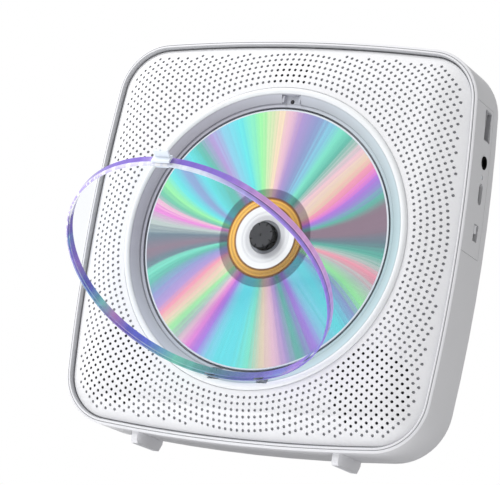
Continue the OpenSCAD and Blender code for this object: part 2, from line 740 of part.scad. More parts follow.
module battery_cell() { color("steelblue") translate([0, cell_y, cell_h]) rotate([0, 90, 0]) {
    rod(cell_d / 2, -cell_l / 2, cell_l / 2 - 1);
    rod(2.5, cell_l / 2 - 1, cell_l / 2 + 0.3);
} }

module battery_cradle() { color("black") difference() {
    block([-cell_l / 2 - cradle_t - 1, cell_y - cell_d / 2 - cradle_t, rear_wall],
        [cell_l / 2 + cradle_t + 1, cell_y + cell_d / 2 + cradle_t, cell_h]);
    translate([0, cell_y, cell_h]) rotate([0, 90, 0])
        rod(cell_d / 2 + play, -cell_l / 2 - play, cell_l / 2 + 2 * play);
} }

// ---- Sockets and switch on the right-hand side ----

module usb_a_port() { color("darkgray") {
    from_side(usb_at, half - 13) difference() {
        translate([-usb_t / 2, -usb_w / 2, 0]) cube([usb_t, usb_w, 13.8]);
        translate([-usb_t / 2 + 0.4, -usb_w / 2 + 0.4, 3]) cube([usb_t - 0.8, usb_w - 0.8, 20]);
    }
    from_side(usb_at, half - 10.5) translate([-0.2, -5.5, 0]) cube([1.9, 11, 9]);
} }

module audio_jack() { color([0.13, 0.13, 0.14]) difference() {
    union() {
        block([half - 13, jack_at.x - 3.6, board_h], [half - 1.6, jack_at.x + 3.6, board_h + 6.8]);
        from_side(jack_at, half - 2) cylinder(r = jack_nose, h = wall_at(jack_at.x) - half + 2.2, $fn = 48);
    }
    from_side(jack_at, half - 12) cylinder(r = jack_r, h = 30, $fn = 48);
} }

module type_c_port() { color("dimgray") {
    from_side(type_c_at, half - 8) difference() {
        pill(type_c_w, type_c_t, 9.4);
        translate([0, 0, 2]) pill(type_c_w - 0.7, type_c_t - 0.7, 20);
    }
    from_side(type_c_at, half - 7) translate([-0.35, -3.3, 0]) cube([0.7, 6.6, 7.4]);
    block([half - 8, type_c_at.x - 3.2, board_h],
        [half - 3, type_c_at.x + 3.2, type_c_at.y - type_c_t / 2 + 0.2]);
} }

module power_switch() { color("silver") difference() {
    block([half - 10, switch_at.x - 5, board_h], [half - 2.2, switch_at.x + 5, board_h + 7]);
    from_side(switch_at, half - 5) pill_box(switch_w - 0.4, 3);
} }

module switch_knob() { color("gainsboro")
    translate([half - 4.6, switch_at.x - 0.2, switch_at.y - 1.2])
        cube([wall_at(switch_at.x) - half + 4.2, knob_w, 2.4]);
}

module charge_light() { color("lightgray") from_side(light_at, half - 7) {
    cylinder(r = light_r, h = wall_at(light_at.x) - half + 6.8, $fn = 32);
    translate([-0.2, -1.4, -1]) cube([light_at.y - board_h + 0.2, 2.8, 2]);
} }

// ---- Feet and fasteners ----

module foot(s) { color("white") difference() {
    union() {
        translate([s * foot_x - foot_w / 2, 0, 0]) rotate([0, 90, 0]) linear_extrude(foot_w)
            polygon([[-3, -body_size / 2 + 4], [-3, -body_size / 2], [-5.5, -body_size / 2 - foot_drop],
                [-25.6, -body_size / 2 - foot_drop], [-26.8, -body_size / 2 - foot_drop + 1.2],
                [-27, -body_size / 2 + 4]]);
    }
    housing_outside();
}
    color("white") translate([s * foot_x, -wall_at(foot_x) - 0.4, button_h]) rotate([-90, 0, 0])
        rod(foot_w / 2, 0, wall + 1);
}

module left_foot() { foot(-1); }
module right_foot() { foot(1); }

module housing_screws() { color("silver") for (p = case_posts) translate([p.x, p.y, 0])
    screw(screw_r - 0.1, head_r, head_t + 0.2, case_split + 8);
}

module tray_screws() { color("darkgray") for (a = ear_angles) rotate(a) translate([ear_r, 0, 0])
    screw(0.8, 1.7, deck_back, deck_h + 1.4);
}

stand_up() rear_housing();
stand_up() port_panel();
stand_up() front_bezel();
stand_up() front_grille();
stand_up() well_ring();
stand_up() disc_tray();
stand_up() lid();
stand_up() lid_clip();
stand_up() hinge_pins();
stand_up() latch_catch();
stand_up() lid_switch();
stand_up() disc();
stand_up() turntable();
stand_up() clamp_hub();
stand_up() spindle_shaft();
stand_up() spindle_motor();
stand_up() mech_chassis();
stand_up() chassis_dampers();
stand_up() damper_screws();
stand_up() guide_rods();
stand_up() pickup_sled();
stand_up() lens_holder();
stand_up() pickup_lens();
stand_up() sled_motor();
stand_up() lead_screw();
stand_up() speaker_frame(-1);  // speaker_frame_left
stand_up() speaker_frame(1);  // speaker_frame_right
stand_up() speaker_cone(-1);  // speaker_cone_left
stand_up() speaker_cone(1);  // speaker_cone_right
stand_up() speaker_magnet(-1);  // speaker_magnet_left
stand_up() speaker_magnet(1);  // speaker_magnet_right
stand_up() speaker_gasket(-1);  // speaker_gasket_left
stand_up() speaker_gasket(1);  // speaker_gasket_right
stand_up() main_board();
stand_up() board_chips();
stand_up() capacitors();
stand_up() display_module();
stand_up() display_board();
stand_up() remote_sensor();
stand_up() button_board();
stand_up() tact_switches();
stand_up() previous_button();
stand_up() play_button();
stand_up() next_button();
stand_up() volume_down_button();
stand_up() volume_up_button();
stand_up() battery_cell();
stand_up() battery_cradle();
stand_up() usb_a_port();
stand_up() audio_jack();
stand_up() type_c_port();
stand_up() power_switch();
stand_up() switch_knob();
stand_up() charge_light();
stand_up() left_foot();
stand_up() right_foot();
stand_up() housing_screws();
stand_up() tray_screws();
stand_up() speaker_screws();
stand_up() board_screws();
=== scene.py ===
"""Looks of a wall mounted disc player: a white perforated body, a clear violet-edged lid that stands
open over a rainbow disc, and a row of sockets on the right-hand wall."""

from functools import partial
from math import atan2, ceil, cos, pi, radians, sin, sqrt

import bmesh
import bpy
import numpy as np
from bpy.props import FloatProperty, FloatVectorProperty, IntProperty, PointerProperty
from mathutils import Matrix, Vector
from mathutils.geometry import delaunay_2d_cdt


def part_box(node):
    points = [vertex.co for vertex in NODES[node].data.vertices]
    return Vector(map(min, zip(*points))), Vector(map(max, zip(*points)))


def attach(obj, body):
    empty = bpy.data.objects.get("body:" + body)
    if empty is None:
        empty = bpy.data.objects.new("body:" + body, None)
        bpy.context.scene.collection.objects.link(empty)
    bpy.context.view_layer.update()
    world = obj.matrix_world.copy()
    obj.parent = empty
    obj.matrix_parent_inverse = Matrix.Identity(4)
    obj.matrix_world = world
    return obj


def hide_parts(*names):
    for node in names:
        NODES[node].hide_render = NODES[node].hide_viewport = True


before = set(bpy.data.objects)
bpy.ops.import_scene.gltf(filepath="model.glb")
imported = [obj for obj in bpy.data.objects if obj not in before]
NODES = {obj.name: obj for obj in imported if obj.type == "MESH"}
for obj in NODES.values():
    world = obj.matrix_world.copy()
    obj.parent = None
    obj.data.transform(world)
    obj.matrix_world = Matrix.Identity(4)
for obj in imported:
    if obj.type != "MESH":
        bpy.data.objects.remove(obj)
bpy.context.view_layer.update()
MM = 0.001

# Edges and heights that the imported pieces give, in millimetres from the wall face and the disc's axis
GRILLE_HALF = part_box("front_grille")[1].x / MM
BODY_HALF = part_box("rear_housing")[1].x / MM
GRILLE_HEIGHT = -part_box("front_grille")[0].y / MM
DISC_FACE = -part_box("disc")[0].y / MM
DISC_BACK = -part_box("disc")[1].y / MM
DISC_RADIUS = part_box("disc")[1].x / MM
SEAM_HEIGHT = -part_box("rear_housing")[0].y / MM
FLOOR_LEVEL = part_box("left_foot")[0].z / MM
BEZEL_WIDTH = BODY_HALF - GRILLE_HALF

bl_info = {
    "name": "Wall Mounted Disc Player",
    "version": (1, 0, 0),
    "blender": (4, 5, 0),
    "location": "View3D > Sidebar > Disc Player",
    "description": "Builds the looks of a wall mounted disc player around its packed pieces",
    "category": "Object",
}


# ---------------------------------------------------------------- sizes and colours


def linear(colour):
    """The linear red, green, blue and alpha that the shaders take, from sRGB hex, from one level for all three,
    or from red, green and blue that are linear already."""
    if isinstance(colour, str):
        parts = [int(colour[k : k + 2], 16) / 255 for k in (1, 3, 5)]
        colour = [c / 12.92 if c <= 0.04045 else ((c + 0.055) / 1.055) ** 2.4 for c in parts]
    elif isinstance(colour, (int, float)):
        colour = [colour] * 3
    return [*colour][:3] + [1.0]


def tint(colour, amount):
    """A colour made lighter or darker by this factor."""
    return [min(1.0, c * amount) for c in linear(colour)[:3]] + [1.0]


def length_prop(name, description, default):
    """A size in metres, given here in millimetres."""
    return FloatProperty(name=name, description=description, default=default * MM, unit="LENGTH", precision=5)


def power_prop(name, description, default):
    """A lamp's power."""
    return FloatProperty(name=name, description=description, default=default, unit="POWER")


def colour_prop(name, description, code):
    """A colour, given here as sRGB hex."""
    return FloatVectorProperty(
        name=name, description=description, default=linear(code)[:3], subtype="COLOR", size=3, min=0, max=1
    )


class BodySizes(bpy.types.PropertyGroup):
    """Sizes of the body's outline and of its perforated face."""

    side_bow: length_prop("Side bow", "How far the middle of each side bows out past its ends", 5.2)
    corner_radius: length_prop("Corner radius", "Corner radius of the body", 25.2)
    grille_drop: length_prop("Face drop", "How far the face's edge lies behind its middle", 6)
    grille_roll: length_prop("Face roll", "Width over which the face rolls back to its edge", 20)
    grille_thickness: length_prop("Face thickness", "Thickness of the perforated face", 2)
    well_radius: length_prop("Well radius", "Radius of the round opening in the face", 69.8)
    hole_pitch: length_prop("Hole pitch", "Distance between the rings of holes", 2.8)
    hole_diameter: length_prop("Hole diameter", "Diameter of the holes below their rims", 1.3)
    hole_rim: length_prop("Hole rim", "Width of the rounded rim of each hole", 0.14)
    dimple_depth: length_prop("Dimple depth", "Depth of the holes that don't go through", 0.9)
    hole_margin: length_prop("Hole margin", "Bare border inside the face's edge", 3.5)
    speaker_place: length_prop("Speaker place", "Distance of each speaker from the middle lines", 63)
    speaker_open: length_prop("Speaker opening", "Radius of the open holes over a speaker", 18.4)
    window_half: length_prop("Display half width", "Half width of the open holes over the display", 10)
    window_low: length_prop("Display low", "Lower edge of the open holes over the display", 71.9)
    window_high: length_prop("Display high", "Upper edge of the open holes over the display", 82.9)
    hole_sides: IntProperty(name="Hole sides", description="Sides drawn for each hole", default=12, min=8, max=24)


class WellSizes(bpy.types.PropertyGroup):
    """Sizes of the disc and the lid."""

    disc_hole: length_prop("Disc hole", "Radius of the hole in the disc", 7.5)
    label_radius: length_prop("Label radius", "Radius of the disc's white middle", 14.5)
    band_radius: length_prop("Band radius", "Outer radius of the disc's gold band", 18.7)
    mirror_radius: length_prop("Mirror radius", "Outer radius of the dark mirror band", 22.6)
    cap_radius: length_prop("Cap radius", "Radius of the cap that clamps the disc", 6.15)
    rim_radius: length_prop("Lid rim radius", "Radius outside which the lid is tinted", 59.3)
    skirt_radius: length_prop("Lid skirt radius", "Radius just outside the lid's skirt", 61.1)
    hinge_height: length_prop("Hinge height", "Height of the hinge's axis above the wall", 31)
    hinge_drop: length_prop("Hinge drop", "Distance of the hinge's axis below the disc's axis", 64)
    lid_angle: FloatProperty(
        name="Lid angle", description="Angle at which the lid stands open", default=radians(55), subtype="ANGLE"
    )


class Colours(bpy.types.PropertyGroup):
    """Colours of the finishes that show most."""

    shell: colour_prop("Shell", "White of the housing and the bezel", "#e9e9ec")
    face: colour_prop("Face", "White of the perforated face", "#eeeef0")
    # the dimple grey is painted shade inside the blind holes
    dimple: colour_prop("Dimple", "Grey inside the blind holes", "#b4b5b9")
    ring: colour_prop("Ring", "White of the ring round the well", "#eef0f2")
    gold: colour_prop("Gold", "Gold band round the disc's middle", "#c99b4a")


class StageSettings(bpy.types.PropertyGroup):
    """Lamps, floor and camera."""

    key_power: power_prop("Key power", "Power of the large lamp on the left", 9.5)
    fill_power: power_prop("Fill power", "Power of the lamp on the right", 0.3)
    table_power: power_prop("Table power", "Power of the lamp under the table", 3.0)
    sky_level: FloatProperty(name="Sky level", description="Strength of the even light all round", default=0.46)
    floor_near: length_prop("Floor near", "Where the floor starts to fade", 260)
    floor_far: length_prop("Floor far", "Where the floor ends in white", 620)
    focal_length: FloatProperty(name="Focal length", description="Focal length in millimetres", default=172.8)
    camera_place: FloatVectorProperty(
        name="Camera place", description="Where the camera stands", default=(0.4901, -0.9570, -0.2149), unit="LENGTH"
    )
    camera_turn: FloatVectorProperty(
        name="Camera turn", description="Turn of the camera about X, Y and Z", subtype="EULER",
        default=(radians(101.584), radians(-9.619), radians(26.247)),
    )


# ---------------------------------------------------------------- materials


def add_node(tree, kind, values=None):
    """Adds a node and sets its properties, its inputs and its ramp's stops. Hex codes become linear colours. An
    output feeds the input it is given for, and so does the first output in use of a node."""
    node = tree.nodes.new("ShaderNode" + kind)
    for name, value in (values or {}).items():
        if isinstance(value, bpy.types.Node):
            value = next(output for output in value.outputs if output.enabled)
        if isinstance(value, bpy.types.NodeSocket):
            tree.links.new(value, node.inputs[name])
        elif name == "stops":
            points = node.color_ramp.elements
            points.remove(points[-1])
            points[0].position, points[0].color = value[0][0], linear(value[0][1])
            for position, colour in value[1:]:
                points.new(position).color = linear(colour)
        elif isinstance(name, int) or name in node.inputs:
            node.inputs[name].default_value = linear(value) if isinstance(value, str) else value
        else:
            setattr(node, name, value)
    return node


def new_material(name):
    """An empty material, in place of one made before under this name, and add_node for its tree."""
    old = bpy.data.materials.get(name)
    if old:
        bpy.data.materials.remove(old)
    material = bpy.data.materials.new(name)
    material.use_nodes = True
    material.node_tree.nodes.clear()
    return material, partial(add_node, material.node_tree)


def surface(node, values, clear=False):
    """The shader and the output that end a node tree. A clear piece lets light through, where it would
    otherwise cast a solid shadow."""
    shader = node("BsdfPrincipled", values)
    if clear:
        light = node("LightPath").outputs["Is Shadow Ray"]
        shader = node("MixShader", {0: light, 1: shader, 2: node("BsdfTransparent")})
    node("OutputMaterial", {"Surface": shader})


def change_at(node, value, start, end, before, after):
    """The first colour up to start, the second from end on, and a short blend between them."""
    blend = node("MapRange", {"Value": value, "From Min": start, "From Max": end})
    return node("Mix", {"data_type": "RGBA", 0: blend, 6: before, 7: after})


def polar(node, place):
    """Angle clockwise from the top, as 0 to 1, and radius in metres, about the disc's axis."""
    x, _, z = node("SeparateXYZ", {0: place}).outputs
    angle = node("Math", {"operation": "ARCTAN2", 0: x, 1: z})
    turn = node("Math", {"operation": "MULTIPLY_ADD", 0: angle, 1: 0.5 / pi, 2: 1.0})
    flat = node("CombineXYZ", {0: x, 2: z})
    radius = node("VectorMath", {"operation": "LENGTH", 0: flat})
    return node("Math", {"operation": "FRACT", 0: turn}), radius


# What the shaders of plain plastic and of bare metal take besides their colour and gloss
PLASTIC = {"IOR": 1.5}
METAL = {"Metallic": 1.0}
# Width of the patches over which a skin's colour drifts, in millimetres
DRIFT = 30


def moulded(name, colour, second, rough, grain=0.4, relief=0.02, kind=PLASTIC, stretch=(1, 1, 1)):
    """A moulded, painted or plated skin: slow colour drift, and a grain in millimetres that breaks the gloss."""
    material, node = new_material(name)
    place = node("TexCoord").outputs["Object"]
    stretched = node("Mapping", {"Vector": place, "Scale": stretch})
    noise = node("TexNoise", {"Vector": stretched, "Scale": 1 / (grain * MM), "Detail": 3.0, "Roughness": 0.6})
    cloud = node("TexNoise", {"Vector": place, "Scale": 1 / (DRIFT * MM), "Detail": 2.0})
    values = {
        "Base Color": node("Mix", {"data_type": "RGBA", 0: cloud, 6: linear(colour), 7: linear(second)}),
        "Roughness": node("MapRange", {"Value": noise, "To Min": rough * 0.85, "To Max": min(1.0, rough * 1.15)}),
        "Normal": node("Bump", {"Height": noise, "Strength": 0.5, "Distance": relief * MM}),
    }
    surface(node, {**kind, **values})
    return material


# Hues that a pressed disc splits light into, in the order in which one order of diffraction shows them
CREAM = "#ead6bb"
BLUSH = "#eec4d4"
ROSE = "#f09fb2"
MAGENTA = "#e585d6"
VIOLET = "#a97add"
LILAC = "#b298d2"
DUSK = "#8f9ccc"
SKY = "#88cbe2"
CYAN = "#66dce2"
AQUA = "#80e2c8"
MINT = "#98eca4"
TEAL = "#62b8a8"
SLATE = "#6d8390"
MAUVE = "#907c8c"
PEARL = "#bcc8c4"

# Where each hue lies round the disc, in degrees clockwise from the top
RIGHT_SECTORS = [
    (0, CREAM), (5, BLUSH), (11, LILAC), (19, DUSK), (27, SKY), (32, AQUA), (38, TEAL), (42, PEARL), (46, BLUSH),
    (50, CREAM), (54, ROSE), (58, MAGENTA), (61, VIOLET), (65, DUSK), (69, TEAL), (74, MAUVE), (84, MAUVE),
    (91, SLATE), (98, TEAL), (103, PEARL), (107, ROSE), (113, PEARL), (120, MINT), (125, DUSK),
    (133, CYAN), (141, SKY), (147, VIOLET), (155, TEAL), (161, LILAC), (167, BLUSH), (173, CREAM), (180, AQUA),
]
LEFT_SECTORS = [
    (180, AQUA), (188, CYAN), (196, CYAN), (202, SKY), (207, VIOLET), (212, MAGENTA), (216, BLUSH), (219, PEARL),
    (224, MINT), (228, CREAM), (232, ROSE), (236, LILAC), (242, DUSK), (248, TEAL), (252, AQUA), (256, SLATE),
    (262, MAUVE), (270, SLATE), (277, PEARL), (283, MAGENTA), (286, BLUSH), (289, TEAL), (294, MINT), (300, CYAN),
    (306, DUSK), (311, CYAN), (317, TEAL), (324, LILAC), (331, SKY), (339, CYAN), (350, MINT), (360, CREAM),
]
# Share of the disc's radius at which its clear edge starts
CLEAR_EDGE = 0.985


def rainbow_disc(sizes, colours):
    """Polycarbonate over a sputtered mirror: the pits split white light into hues that fan out from the
    hub, painted in as its colour and a tenth lighter on the left. The run-in band stays plain mirror, and the clamp
    area is printed white inside a gold band with a painted sheen."""
    material, node = new_material("aluminised_polycarbonate_pressed")
    turn, radius = polar(node, node("TexCoord").outputs["Object"])
    # Near the hub, fans that lie close to the level line bow towards it
    bow = node("MapRange",
        {"Value": radius, "From Min": 20 * MM, "From Max": 60 * MM, "To Min": -0.075, "To Max": 0.0}
    )
    swing = node("Math", {"operation": "MULTIPLY", 0: turn, 1: 4 * pi})
    wave = node("Math", {"operation": "SINE", 0: swing})
    level = node("Math", {"operation": "COSINE", 0: swing})
    level = node("Math", {"operation": "MULTIPLY", "use_clamp": True, 0: level, 1: -1.0})
    wave = node("Math", {"operation": "MULTIPLY", 0: wave, 1: level})
    bent = node("Math", {"operation": "MULTIPLY_ADD", 0: wave, 1: bow, 2: turn})
    # Streaks: the grooves' fine scatter, drawn 1.5 degrees wide so that it shows
    spokes = node("TexNoise", {"noise_dimensions": "1D", "W": bent, "Scale": 240.0, "Detail": 2.0})
    shifted = node("Math", {"operation": "MULTIPLY_ADD", 0: spokes, 1: 0.012, 2: bent})
    # The left half's hues are painted a tenth lighter than the right half's, as painted light
    right, left = (
        node("ValToRGB", {0: shifted, "stops": [(a / 360, tint(code, gain)) for a, code in sectors]})
        for sectors, gain in ((RIGHT_SECTORS, 1.0), (LEFT_SECTORS, 1.1))
    )
    side = node("Math", {"operation": "GREATER_THAN", 0: shifted, 1: 0.5})
    hue = node("Mix", {"data_type": "RGBA", 0: side, 6: right, 7: left})
    light = node("MapRange", {"Value": spokes, "To Min": 0.9, "To Max": 1.08})
    fan = node("VectorMath", {"operation": "SCALE", 0: hue, "Scale": light})
    mirror = node("Mix", {"data_type": "RGBA", "blend_type": "MULTIPLY", 0: 1.0, 6: fan, 7: "#b2b0b8"})
    # Bands, by their share of the disc's radius: white middle, gold band, mirror band, recorded area, clear edge
    edge = DISC_RADIUS * MM
    marks = (sizes.disc_hole, sizes.label_radius, sizes.band_radius, sizes.mirror_radius)
    hole, label, band, dark = (mark / edge for mark in marks)
    share = node("Math", {"operation": "DIVIDE", 0: radius, 1: edge})
    gold = colours.gold
    stops = [
        (0.0, "#e9e9ea"), (hole + 0.03, "#d6d6d8"), (hole + 0.05, "#f4f4f4"), (label * 0.8, "#e8e8e9"),
        (label * 0.82, "#fafaf9"), (label - 0.006, "#f8f8f7"), (label, "#70441a"), (label + 0.007, "#8a5a28"),
        (label + 0.016, tint(gold, 1.25)), ((label + band) / 2, tint(gold, 0.9)),
        (band - 0.022, tint(gold, 1.3)), (band - 0.013, "#8a5a28"), (band, "#5e3814"),
    ]
    printed = node("ValToRGB", {0: share, "stops": stops})
    # Painted sheen on the foil: lightest towards the upper left, darkest towards the lower right
    sheen = node("Math", {"operation": "MULTIPLY_ADD", 0: turn, 1: 2 * pi, 2: -5.2})
    sheen = node("Math", {"operation": "COSINE", 0: sheen})
    sheen = node("MapRange", {"Value": sheen, "From Min": -1.0, "To Min": 0.68, "To Max": 1.5})
    foil = node("MapRange", {"Value": share, "From Min": label - 0.002, "From Max": label})
    sheen = node("Mix", {"data_type": "FLOAT", 0: foil, 2: 1.0, 3: sheen})
    printed = node("VectorMath", {"operation": "SCALE", 0: printed, "Scale": sheen})
    recorded = change_at(node, share, dark - 0.004, dark + 0.004, mirror, fan)
    whole = change_at(node, share, band - 0.003, band + 0.003, printed, recorded)
    # The pitch of the real grooves is far too fine, so they are drawn 0.4 mm apart
    grooves = node("Math", {"operation": "PINGPONG", 0: radius, 1: 0.2 * MM})
    stops = [(0.0, 0.0), (label - 0.002, 0.0), (label + 0.002, 0.75)]
    surface(node, {
        "Base Color": change_at(node, share, CLEAR_EDGE, CLEAR_EDGE + 0.004, whole, linear("#dfe6ee")),
        "Metallic": node("ValToRGB", {0: share, "stops": stops}),
        "Normal": node("Bump", {"Height": grooves, "Strength": 0.06, "Distance": 0.02 * MM}),
        "Roughness": 0.24, "Coat Weight": 0.5, "Coat Roughness": 0.04,
    })
    return material


# Painted light round the lid's skirt and round its front edge, in degrees clockwise from the clip: tints that stand
# in for the coloured light which the thick moulding gathers
SKIRT_TINTS = [
    (3, "#b9a8e6"), (10, "#8266cc"), (30, "#a080e6"), (46, "#eab4f4"), (70, "#f4bef4"), (95, "#deb0f8"),
    (115, "#a88cee"), (150, "#8a70d2"), (172, "#6468b4"), (190, "#4a7f8c"), (208, "#79d2bc"), (222, "#5c70e0"),
    (232, "#6a6ae4"), (240, "#d79ae0"), (248, "#8fe2da"), (256, "#6470dc"), (270, "#a48ce4"), (295, "#7c62d0"),
    (330, "#7458c4"), (352, "#8266cc"), (359, "#b9a8e6"),
]
FRONT_TINTS = [
    (0, "#eef1fb"), (20, "#e6ecfb"), (34, "#c4bcf6"), (50, "#b096f8"), (95, "#a48cf4"), (140, "#9484e0"),
    (180, "#6a6ab8"), (208, "#9adfd0"), (235, "#c8a8ee"), (255, "#a8d8f0"), (280, "#cdbdf2"), (320, "#c4b4ee"),
    (350, "#e6e2fa"), (360, "#eef1fb"),
]
# Heights above the wall between which the lid's edge changes from its skirt to its front, in millimetres
EDGE_FROM, EDGE_TO = 31, 36
# What the painted pale line, a highlight, and the painted dark line, a shade, between them multiply the tints by,
# from the first height to the second
PAINTED_DARK_LINE = (0.12, 0.12, 0.16)
PAINTED_EDGE_LINES = [(0.0, 1), (0.58, 1), (0.6, 1.3), (0.66, 1.3), (0.68, PAINTED_DARK_LINE), (0.75, PAINTED_DARK_LINE), (0.77, 1)]


def lid_edge(sizes):
    """Clear styrene, injection moulded: the light that its thick edge pipes round is painted in as tints from violet
    to mint, with a painted pale highlight and a painted dark line of shade between the skirt and the front edge on
    the right."""
    material, node = new_material("clear_polystyrene_edge_painted_light")
    shut = node("VectorRotate", {
        "rotation_type": "X_AXIS", "Vector": node("TexCoord").outputs["Object"],
        "Center": (0.0, -sizes.hinge_height, -sizes.hinge_drop), "Angle": -sizes.lid_angle,
    })
    turn, _ = polar(node, shut)
    skirt, front = (
        node("ValToRGB", {0: turn, "stops": [(a / 360, code) for a, code in tints]})
        for tints in (SKIRT_TINTS, FRONT_TINTS)
    )
    # Flow marks from moulding, about 3 mm apart round the edge; in the upper part of the front edge some are painted
    # white as glints
    flow = node("TexNoise", {"noise_dimensions": "1D", "W": turn, "Scale": 130.0, "Detail": 2.0})
    lit = node("MapRange", {"Value": flow, "To Min": 0.85, "To Max": 1.15})
    dashes = node("MapRange", {"Value": flow, "From Min": 0.52, "From Max": 0.56, "To Max": 0.9})
    upper = node("ValToRGB", {0: turn, "stops": [(0.0, 1), (0.06, 0), (0.75, 0), (0.8, 1)]})
    painted_glints = node("Math", {"operation": "MULTIPLY", 0: dashes, 1: upper})
    front = node("Mix", {"data_type": "RGBA", 0: painted_glints, 6: front, 7: linear("#ffffff")})
    # Bands by height above the wall: skirt, pale line, dark line, front edge. The pale line is a painted highlight
    # and the dark line painted shade; they show on the right only
    depth = node("SeparateXYZ", {0: shut}).outputs[1]
    height = node("MapRange", {"Value": depth, "From Min": -EDGE_FROM * MM, "From Max": -EDGE_TO * MM})
    right = node("ValToRGB", {0: turn, "stops": [(0.07, 0), (0.11, 1), (0.36, 1), (0.42, 0)]})
    line = node("ValToRGB", {0: height, "stops": PAINTED_EDGE_LINES})
    line = node("Mix", {"data_type": "RGBA", 0: right, 6: linear("#ffffff"), 7: line})
    both = change_at(node, height, 0.68, 0.7, skirt, front)
    lined = node("Mix", {"data_type": "RGBA", "blend_type": "MULTIPLY", 0: 1.0, 6: both, 7: line})
    colour = node("VectorMath", {"operation": "SCALE", 0: lined, "Scale": lit})
    surface(node, {"Base Color": colour, "Roughness": 0.06, "IOR": 1.5, "Transmission Weight": 0.25}, clear=True)
    return material


# Painted shade and painted reflection round the recess of the well ring, by the share of a turn clockwise from the
# top: darker violet-grey on the left and top, pale blue on the right and bottom
RECESS_PAINTED_TINTS = [
    (0.0, "#bcbec8"), (0.12, "#c3cfd6"), (0.25, "#b6cfd5"), (0.42, "#bfd6dc"), (0.55, "#c2c9d2"), (0.75, "#a09fab"),
    (0.9, "#abaab6"), (1.0, "#bcbec8"),
]
# Radii between which the recess's wall rises, and between which it turns into the white crest, in millimetres
RECESS_FROM, RECESS_TO = 60.8, 67.2
CREST_FROM, CREST_TO = 66.4, 66.8
# Painted light and shade across that wall: steps at the ledge's edge, the slope and the foot of the crest
RECESS_PAINTED_LIGHT = [(0.0, 0.75), (0.05, 1), (0.2, 0.9), (0.24, 0.55), (0.3, 0.82), (0.8, 1), (0.9, 0.78), (1.0, 1)]


def ring_gloss(colours):
    """ABS, gloss moulded against a polished tool: white along its crest, and in the recess round the disc a painted
    grey that leans to violet on one side, as shade, and to pale blue on the other, as a reflection of the disc's
    glow."""
    material, node = new_material("abs_white_gloss_recess_painted_light")
    place = node("TexCoord").outputs["Object"]
    turn, radius = polar(node, place)
    side = node("ValToRGB", {0: turn, "stops": RECESS_PAINTED_TINTS})
    across = node("MapRange", {"Value": radius, "From Min": RECESS_FROM * MM, "From Max": RECESS_TO * MM})
    rise = node("ValToRGB", {0: across, "stops": RECESS_PAINTED_LIGHT})
    recess = node("Mix", {"data_type": "RGBA", "blend_type": "MULTIPLY", 0: 1.0, 6: side, 7: rise})
    wave = node("TexNoise", {"Vector": place, "Scale": 90.0, "Detail": 1.0})
    surface(node, {
        "Base Color": change_at(node, radius, CREST_FROM * MM, CREST_TO * MM, recess, linear(colours.ring)),
        "Roughness": node("MapRange", {"Value": wave, "To Min": 0.12, "To Max": 0.2}),
        "IOR": 1.5, "Coat Weight": 0.4, "Coat Roughness": 0.05,
    })
    return material


def clear_plastic(name, code, rough, ior):
    """Clear moulding, polished tool: almost no colour of its own, with faint waves in its gloss."""
    material, node = new_material(name)
    place = node("TexCoord").outputs["Object"]
    wave = node("TexNoise", {"Vector": place, "Scale": 70.0, "Detail": 1.0})
    gloss = node("MapRange", {"Value": wave, "To Min": rough * 0.5, "To Max": rough * 1.5})
    bump = node("Bump", {"Height": wave, "Strength": 0.03, "Distance": 0.05 * MM})
    surface(
        node, {"Base Color": code, "IOR": ior, "Transmission Weight": 1.0, "Roughness": gloss, "Normal": bump},
        clear=True,
    )
    return material


def circuit_board():
    """Glass-epoxy laminate, solder-masked: dark green with paler tracks about 0.8 mm apart."""
    material, node = new_material("fr4_laminate_solder_masked")
    place = node("TexCoord").outputs["Object"]
    tracks = node("TexBrick", {
        "Vector": node("Mapping", {"Vector": place, "Rotation": (radians(90), 0, 0)}),
        "Color1": "#1d6b42", "Color2": "#175a38", "Mortar": "#3f9a63",
        "Scale": 125.0, "Mortar Size": 0.09, "Brick Width": 3.0, "Row Height": 0.25,
    })
    bump = node("Bump", {"Height": tracks.outputs["Fac"], "Strength": 0.3, "Distance": 0.03 * MM})
    surface(node, {"Base Color": tracks, "Normal": bump, "Roughness": 0.35, "IOR": 1.55})
    return material


